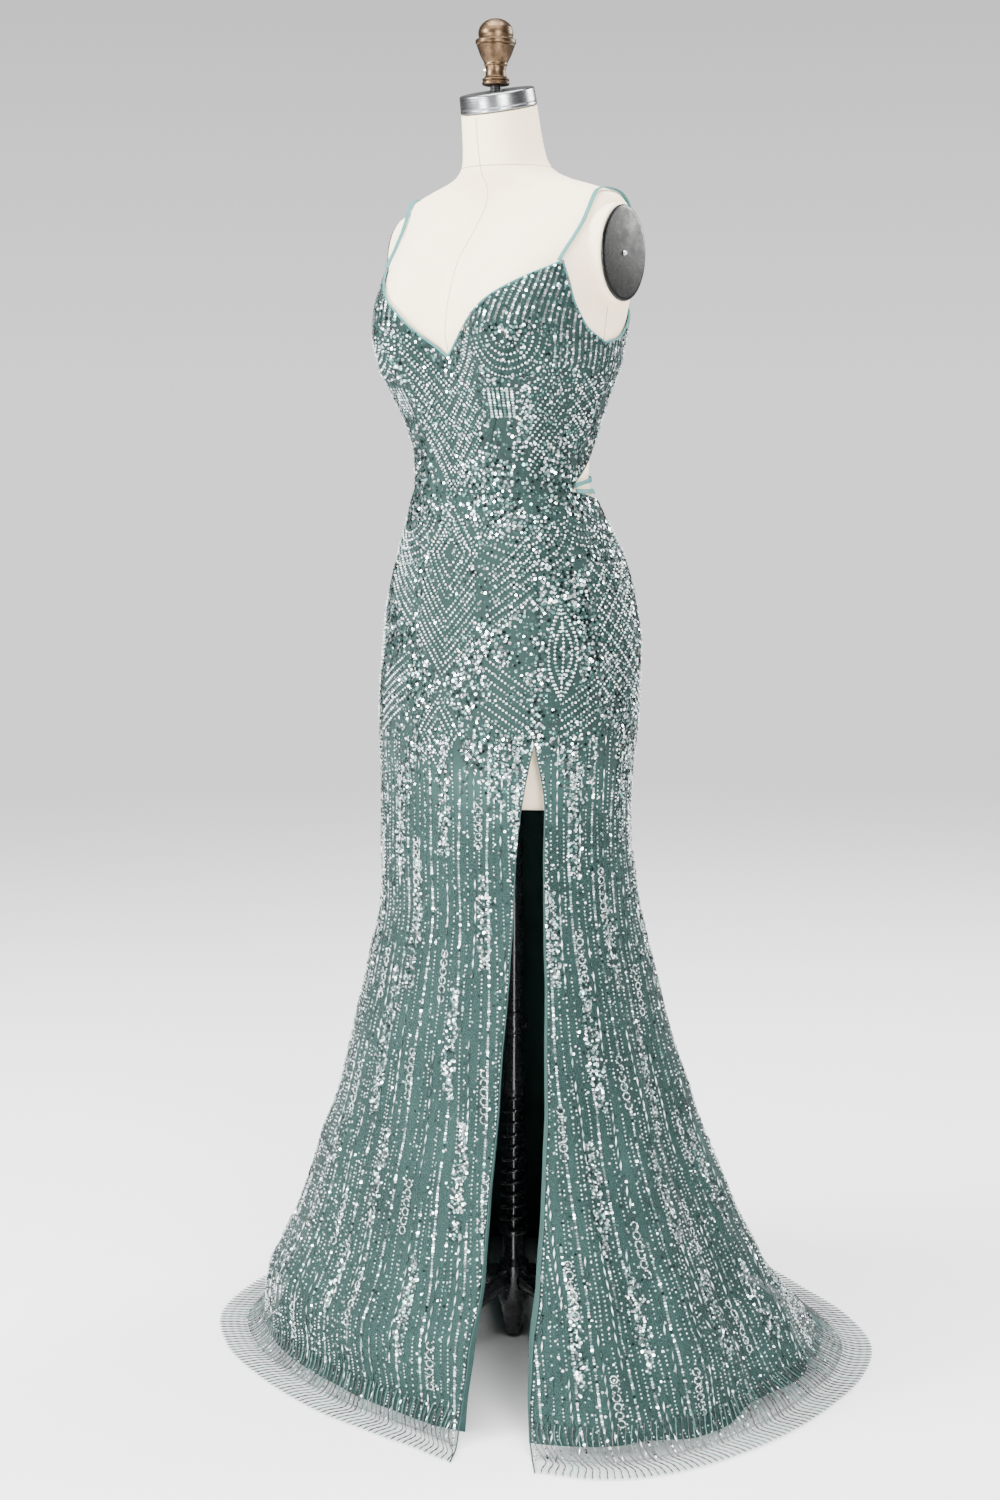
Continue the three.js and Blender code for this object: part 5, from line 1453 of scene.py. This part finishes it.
class GOWN_OT_worked_rows(bpy.types.Operator):
    """The rows of round beads on the bodice and the hip, and the sequin stripes of the cups"""

    bl_idname = "gown.worked_rows"
    bl_label = "Bead rows of bodice and hip"

    def execute(self, context):
        sizes = context.scene.gown_sizes
        rng = np.random.default_rng(SEED + 1)
        bead = sizes.bead * 1000
        spots = worked_rows(sizes.bead_gap * 1000)
        shares = [(WHITE, 0.5), (SILVER, 0.35), (AQUA, 0.15)]
        for label, part in (("hip", spots[spots[:, 1] < 1134]), ("bodice", spots[spots[:, 1] >= 1134])):
            sew_beads(f"{label}_beads", part, bead, bead, shares, rng, lift=1.1)
        shares = [(SILVER, 0.5), (WHITE, 0.25), (AQUA, 0.15), (TEAL, 0.1)]
        sew_sequins("stripe_sequins", cup_stripes(), 1.9, shares, rng, tilt=0.16,
                    lift=1.3)
        return {"FINISHED"}


class GOWN_OT_skirt_lines(bpy.types.Operator):
    """The upright lines of beads, bugles and sequins that run down the skirt"""

    bl_idname = "gown.skirt_lines"
    bl_label = "Lines of the skirt"

    def execute(self, context):
        sizes = context.scene.gown_sizes
        rng = np.random.default_rng(SEED + 2)
        lines = [(-180 + n * 360 / 112, 822 + 26 * math.sin(n * 2.1), n % 4) for n in range(112)]
        lines += [(-180 + (n + 0.5) * 360 / 112, (420, 250, 330, 190)[n % 4] + 22 * math.sin(n * 1.7),
                   (n + 2) % 4) for n in range(112)]
        chains, bugles, discs = [], [], []
        length = sizes.bugle * 1000
        for angle, top, kind in lines:
            phase = rng.uniform(0, 6.3)

            def down(start, step):
                v = np.arange(start, -24, -step)
                return np.stack([angle + (0.45 * np.sin(v / 60 + phase)) * 3 / girth(v), v,
                                 np.full(len(v), np.pi / 2)], 1)

            if kind in (0, 2):
                chains.append(down(top, sizes.bead_gap * 1000))
            if kind == 1:
                row = down(top, length + 2.2)
                bugles.append(row[np.sin(row[:, 1] / 34 + phase) > -0.55])
                row = down(top, sizes.bead_gap * 1000)
                chains.append(row[np.sin(row[:, 1] / 34 + phase) <= -0.62])
            if kind == 3:
                discs.append(down(top, 3.5))
        v = np.arange(830, -30, -sizes.bead_gap * 1000)
        upright = np.full(len(v), np.pi / 2)
        edges = [np.stack([angle, v, upright], 1)
                 for angle in (slit_right(v) - 0.7, slit_left(v) + 0.7)]
        chains = on_cloth(np.concatenate(chains + edges), 1.0)
        sew_beads("chain_beads", chains, 1.3, 1.15,
                  [(WHITE, 0.36), (SILVER, 0.36), (DARK_TINT_AND_PAINTED_REFLECTION, 0.28)], rng)
        bugles = on_cloth(np.concatenate(bugles), 1.0)
        sew_beads("bugle_beads", bugles, length / 2 + 0.8, 1.2,
                  [(WHITE, 0.4), (SILVER, 0.35), (DARK_TINT_AND_PAINTED_REFLECTION, 0.25)], rng)
        discs = on_cloth(np.concatenate(discs), 1.0)
        # The dark share of these sequins is painted dark reflection.
        sew_sequins("line_sequins", discs, 1.8,
                    [(SILVER, 0.5), (WHITE, 0.25), (AQUA, 0.15), (DARK_TINT_AND_PAINTED_REFLECTION, 0.1)], rng, tilt=0.3)
        return {"FINISHED"}


class GOWN_OT_sprays(bpy.types.Operator):
    """The feathered clusters of sequins and the chains of small rings on the skirt"""

    bl_idname = "gown.sprays"
    bl_label = "Clusters and ring chains"

    def execute(self, context):
        rng = np.random.default_rng(SEED + 3)
        clusters, rings = [], []
        chain = rows_of([arc(0, -n * 11.0, 4.4, 0, 345) for n in range(6)], 2.4)
        for v, step, start, tall in zip(*SPRAYS.values()):
            for angle in np.arange(-180 + start, 180, step):
                length = tall * rng.uniform(0.7, 1.15)
                count = int(length * 1.5)
                y = rng.uniform(-0.5, 0.5, count) * length
                wide = 11.5 * (0.4 + 0.6 * np.abs(np.sin(y / 15))) * (1.15 - np.abs(y) / length)
                x = rng.uniform(-1, 1, count) * wide
                middle = v + rng.uniform(-26, 26)
                spots = np.stack([x, y, np.zeros(count)], 1)
                clusters.append(placed(spots, angle + rng.uniform(-2.5, 2.5), middle))
                lower = middle - 30 + rng.uniform(-40, 40)
                rings.append(placed(chain, angle + step * 0.45, lower))
        clusters = on_cloth(np.concatenate(clusters), 1.5)
        # The dark share of these sequins is painted dark reflection.
        shares = [(SILVER, 0.34), (WHITE, 0.18), (AQUA, 0.18), (TEAL, 0.13), (DARK_TINT_AND_PAINTED_REFLECTION, 0.17)]
        sew_sequins("cluster_sequins", clusters, 1.9, shares, rng, tilt=0.3, lift=1.0)
        rings = on_cloth(np.concatenate(rings), 1.5)
        sew_beads("ring_beads", rings, 1.3, 1.0, [(WHITE, 0.5), (SILVER, 0.35), (DARK_TINT_AND_PAINTED_REFLECTION, 0.15)], rng,
                  lift=1.3)
        return {"FINISHED"}


class GOWN_OT_hem_threads(bpy.types.Operator):
    """The wavy bead threads that run out over the sheer hem"""

    bl_idname = "gown.hem_threads"
    bl_label = "Hem threads"

    def execute(self, context):
        rng = np.random.default_rng(SEED + 4)
        angle, run = hem_run()
        starts = np.interp(np.arange(HEM_TOOTH, run[-1], HEM_TOOTH), run, angle)
        v = np.linspace(26, -62.5, 30)[None]
        swell = np.interp(starts, [-400, 50], [0, 26])[:, None]
        drift = 0.9 * np.sin(v / 15 + swell) + 0.5 * np.sin(v / 37 + 2 * swell)
        wave = (drift + rng.uniform(-0.15, 0.15, (len(starts), 1))) * ease((v + 62.5) / 34)
        spots = np.stack([starts[:, None] + wave, v + 0 * wave, 0 * wave], -1)
        point, along, _, out = frame_on(gown_point, spots[..., 0], spots[..., 1])
        radius = 0.82 + 0.25 * np.sin(np.arange(30) * 1.9)[None, :, None, None]
        turn = np.linspace(0, 2 * np.pi, 4, endpoint=False) + np.pi / 4
        ring = along[:, :, None] * np.cos(turn)[:, None] + out[:, :, None] * np.sin(turn)[:, None]
        points = (point + out * 1.9)[:, :, None] + ring * radius
        faces = grid_faces(30, 4, closed=True)
        ends = np.array([[0, 1, 2, 3], [119, 118, 117, 116]])
        body = points[0].reshape(-1, 3)
        if volume(body - body.mean(0), faces) < 0:
            faces, ends = faces[:, ::-1], ends[:, ::-1]
        faces = np.concatenate([faces, ends])
        faces = (faces[None] + 120 * np.arange(len(starts))[:, None, None]).reshape(-1, 4)
        thread = shared("dark thread", lambda: bead_material("dark thread", 0.0, 0.35))
        tint = np.repeat(tinted(len(starts), rng, [(TEAL, 0.45), (DARK_TINT_AND_PAINTED_REFLECTION, 0.55)]), 120, axis=0)
        make_mesh("hem_threads", points.reshape(-1, 3), [faces], thread, tint=tint)
        return {"FINISHED"}


class GOWN_OT_kept_parts(bpy.types.Operator):
    """Finishes on the small parts of the frame that are shown as they are"""

    bl_idname = "gown.kept_parts"
    bl_label = "Small parts"

    def execute(self, context):
        black = metal_material("black spindle", (0.01, 0.01, 0.011), (0.05, 0.05, 0.05), 0.35,
                               (1, 1, 8), 80.0)
        bright = metal_material("bright screw", (0.35, 0.36, 0.37), (0.6, 0.61, 0.62), 0.25,
                                (6, 1, 1), 120.0)
        finishes = {"finial_spindle": black, "finial_screw": bright, "arm_screw_left": bright,
                    "arm_screw_right": bright}
        for name, made in finishes.items():
            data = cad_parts[name].data
            data.materials.clear()
            data.materials.append(made)
        return {"FINISHED"}


class GOWN_OT_stage(bpy.types.Operator):
    """The pale floor, the soft studio light and the camera at the photograph's angle"""

    bl_idname = "gown.stage"
    bl_label = "Studio"

    def execute(self, context):
        stage = context.scene.gown_stage
        tone = stage.floor
        made, nodes, links, shader = material("studio floor")
        place = node(nodes, links, "ShaderNodeTexCoord").outputs["Object"]
        far = node(nodes, links, "ShaderNodeVectorMath", {0: place},
                   operation="LENGTH").outputs["Value"]
        fade = node(nodes, links, "ShaderNodeMapRange",
                    {"Value": far, "From Min": 0.6, "From Max": 6.4},
                    interpolation_type="SMOOTHSTEP")
        set_values(shader, Base_Color=(tone, tone, tone * 1.01, 1), Roughness=0.7)
        glow = node(nodes, links, "ShaderNodeEmission", {"Color": (1, 1, 1, 1), "Strength": FAR_GLOW})
        seen = node(nodes, links, "ShaderNodeLightPath").outputs["Is Camera Ray"]
        fade = node(nodes, links, "ShaderNodeMath", {0: fade.outputs["Result"], 1: seen},
                    operation="MULTIPLY")
        blend = node(nodes, links, "ShaderNodeMixShader", {"Fac": fade.outputs["Value"]})
        links.new(shader.outputs["BSDF"], blend.inputs[1])
        links.new(glow.outputs["Emission"], blend.inputs[2])
        links.new(blend.outputs["Shader"], nodes["Material Output"].inputs["Surface"])
        c, s = circle(96)
        radius = np.array([0.02, 2000, 6000, 20000, 80000])[:, None]
        ring = np.stack([radius * c, radius * s, np.full((5, 96), -0.2)], -1)
        mesh = bpy.data.meshes.new("floor")
        faces = grid_faces(5, 96, closed=True)
        mesh.from_pydata((ring.reshape(-1, 3) / 1000).tolist(), [], faces.tolist())
        mesh.materials.append(made)
        floor = bpy.data.objects.new("floor", mesh)
        context.scene.collection.objects.link(floor)

        world = bpy.data.worlds.new("studio")
        world.use_nodes = True
        nodes, links = world.node_tree.nodes, world.node_tree.links
        way = node(nodes, links, "ShaderNodeTexCoord").outputs["Generated"]
        up = node(nodes, links, "ShaderNodeSeparateXYZ", {"Vector": way}).outputs["Z"]
        wall = node(nodes, links, "ShaderNodeMapRange",
                    {"Value": up, "From Min": 0.0, "From Max": 0.17, "To Min": FAR_GLOW,
                     "To Max": 0.88})
        seen = node(nodes, links, "ShaderNodeLightPath").outputs["Is Camera Ray"]
        strength = node(nodes, links, "ShaderNodeMix", {"Factor": seen, 2: stage.ambient},
                        data_type="FLOAT")
        links.new(wall.outputs["Result"], strength.inputs[3])
        links.new(strength.outputs[0], nodes["Background"].inputs["Strength"])
        nodes["Background"].inputs["Color"].default_value = (1, 1, 1, 1)
        context.scene.world = world
        lights = [
            ("key", (-2.6, -3.6, 2.7), 2.0, stage.key_power),
            ("fill", (3.4, -2.6, 1.5), 1.3, stage.key_power * 0.4),
            ("low", (-0.6, -4.0, 0.7), 1.0, stage.key_power * 0.25),
            ("top", (0.3, -0.6, 4.7), 4.0, stage.key_power * 1.15),
            ("back", (1.5, 3.4, 2.6), 1.8, stage.key_power * 0.35),
        ]
        for name, spot, size, power in lights:
            light = bpy.data.lights.new(name, "AREA")
            light.energy, light.size = power, size
            lamp = bpy.data.objects.new(name, light)
            lamp.location = spot
            aim = Vector((0, 0, 0.95)) - Vector(spot)
            lamp.rotation_euler = aim.to_track_quat("-Z", "Y").to_euler()
            context.scene.collection.objects.link(lamp)

        turn = math.radians(stage.turns)
        pitch = math.atan((PICTURE_TALL / 2 - HORIZON_ROW) / LENS_PIXELS)
        spot = Vector((AXIS[0] / 1000, AXIS[1] / 1000, 0))
        right = Vector((math.cos(turn), math.sin(turn), 0))
        ahead = Vector((-math.sin(turn), math.cos(turn), 0))
        data = bpy.data.cameras.new("camera")
        data.sensor_width = 36
        data.lens = LENS_PIXELS / PICTURE_TALL * data.sensor_width
        camera = bpy.data.objects.new("camera", data)
        camera.location = (spot - ahead * CAMERA_AWAY + Vector((0, 0, CAMERA_UP))
                           - right * CAMERA_ASIDE)
        looking = ahead * math.cos(pitch) - Vector((0, 0, math.sin(pitch)))
        camera.rotation_euler = looking.to_track_quat("-Z", "Y").to_euler()
        context.scene.collection.objects.link(camera)
        context.scene.camera = camera
        return {"FINISHED"}


class GOWN_PT_panel(bpy.types.Panel):
    """Lists the pieces of the gown in the order in which they are made"""

    bl_label = "Gown"
    bl_idname = "GOWN_PT_panel"
    bl_space_type = "VIEW_3D"
    bl_region_type = "UI"
    bl_category = "Gown"

    def draw(self, context):
        layout = self.layout
        scene = context.scene
        for group in (scene.gown_sizes, scene.gown_colours, scene.gown_stage):
            box = layout.box()
            for name in group.__annotations__:
                box.prop(group, name)
        for made in OPERATORS:
            layout.operator(made.bl_idname)


OPERATORS = (GOWN_OT_stage, GOWN_OT_form, GOWN_OT_form_metal, GOWN_OT_stand, GOWN_OT_lining,
             GOWN_OT_skirt, GOWN_OT_bodice, GOWN_OT_straps, GOWN_OT_bindings, GOWN_OT_sequins,
             GOWN_OT_worked_rows, GOWN_OT_skirt_lines, GOWN_OT_sprays, GOWN_OT_hem_threads,
             GOWN_OT_kept_parts)
CLASSES = (GownColours, GownSizes, StageSettings, *OPERATORS, GOWN_PT_panel)


def register():
    """Registers the classes and hangs the three groups of settings on the scene."""
    for made in CLASSES:
        bpy.utils.register_class(made)
    bpy.types.Scene.gown_colours = PointerProperty(type=GownColours)
    bpy.types.Scene.gown_sizes = PointerProperty(type=GownSizes)
    bpy.types.Scene.gown_stage = PointerProperty(type=StageSettings)


def unregister():
    """Undoes what register did, in the opposite order."""
    del bpy.types.Scene.gown_stage
    del bpy.types.Scene.gown_sizes
    del bpy.types.Scene.gown_colours
    for made in reversed(CLASSES):
        bpy.utils.unregister_class(made)


def main():
    register()
    for made in OPERATORS:
        group, name = made.bl_idname.split(".")
        getattr(getattr(bpy.ops, group), name)()


if __name__ == "__main__":
    main()
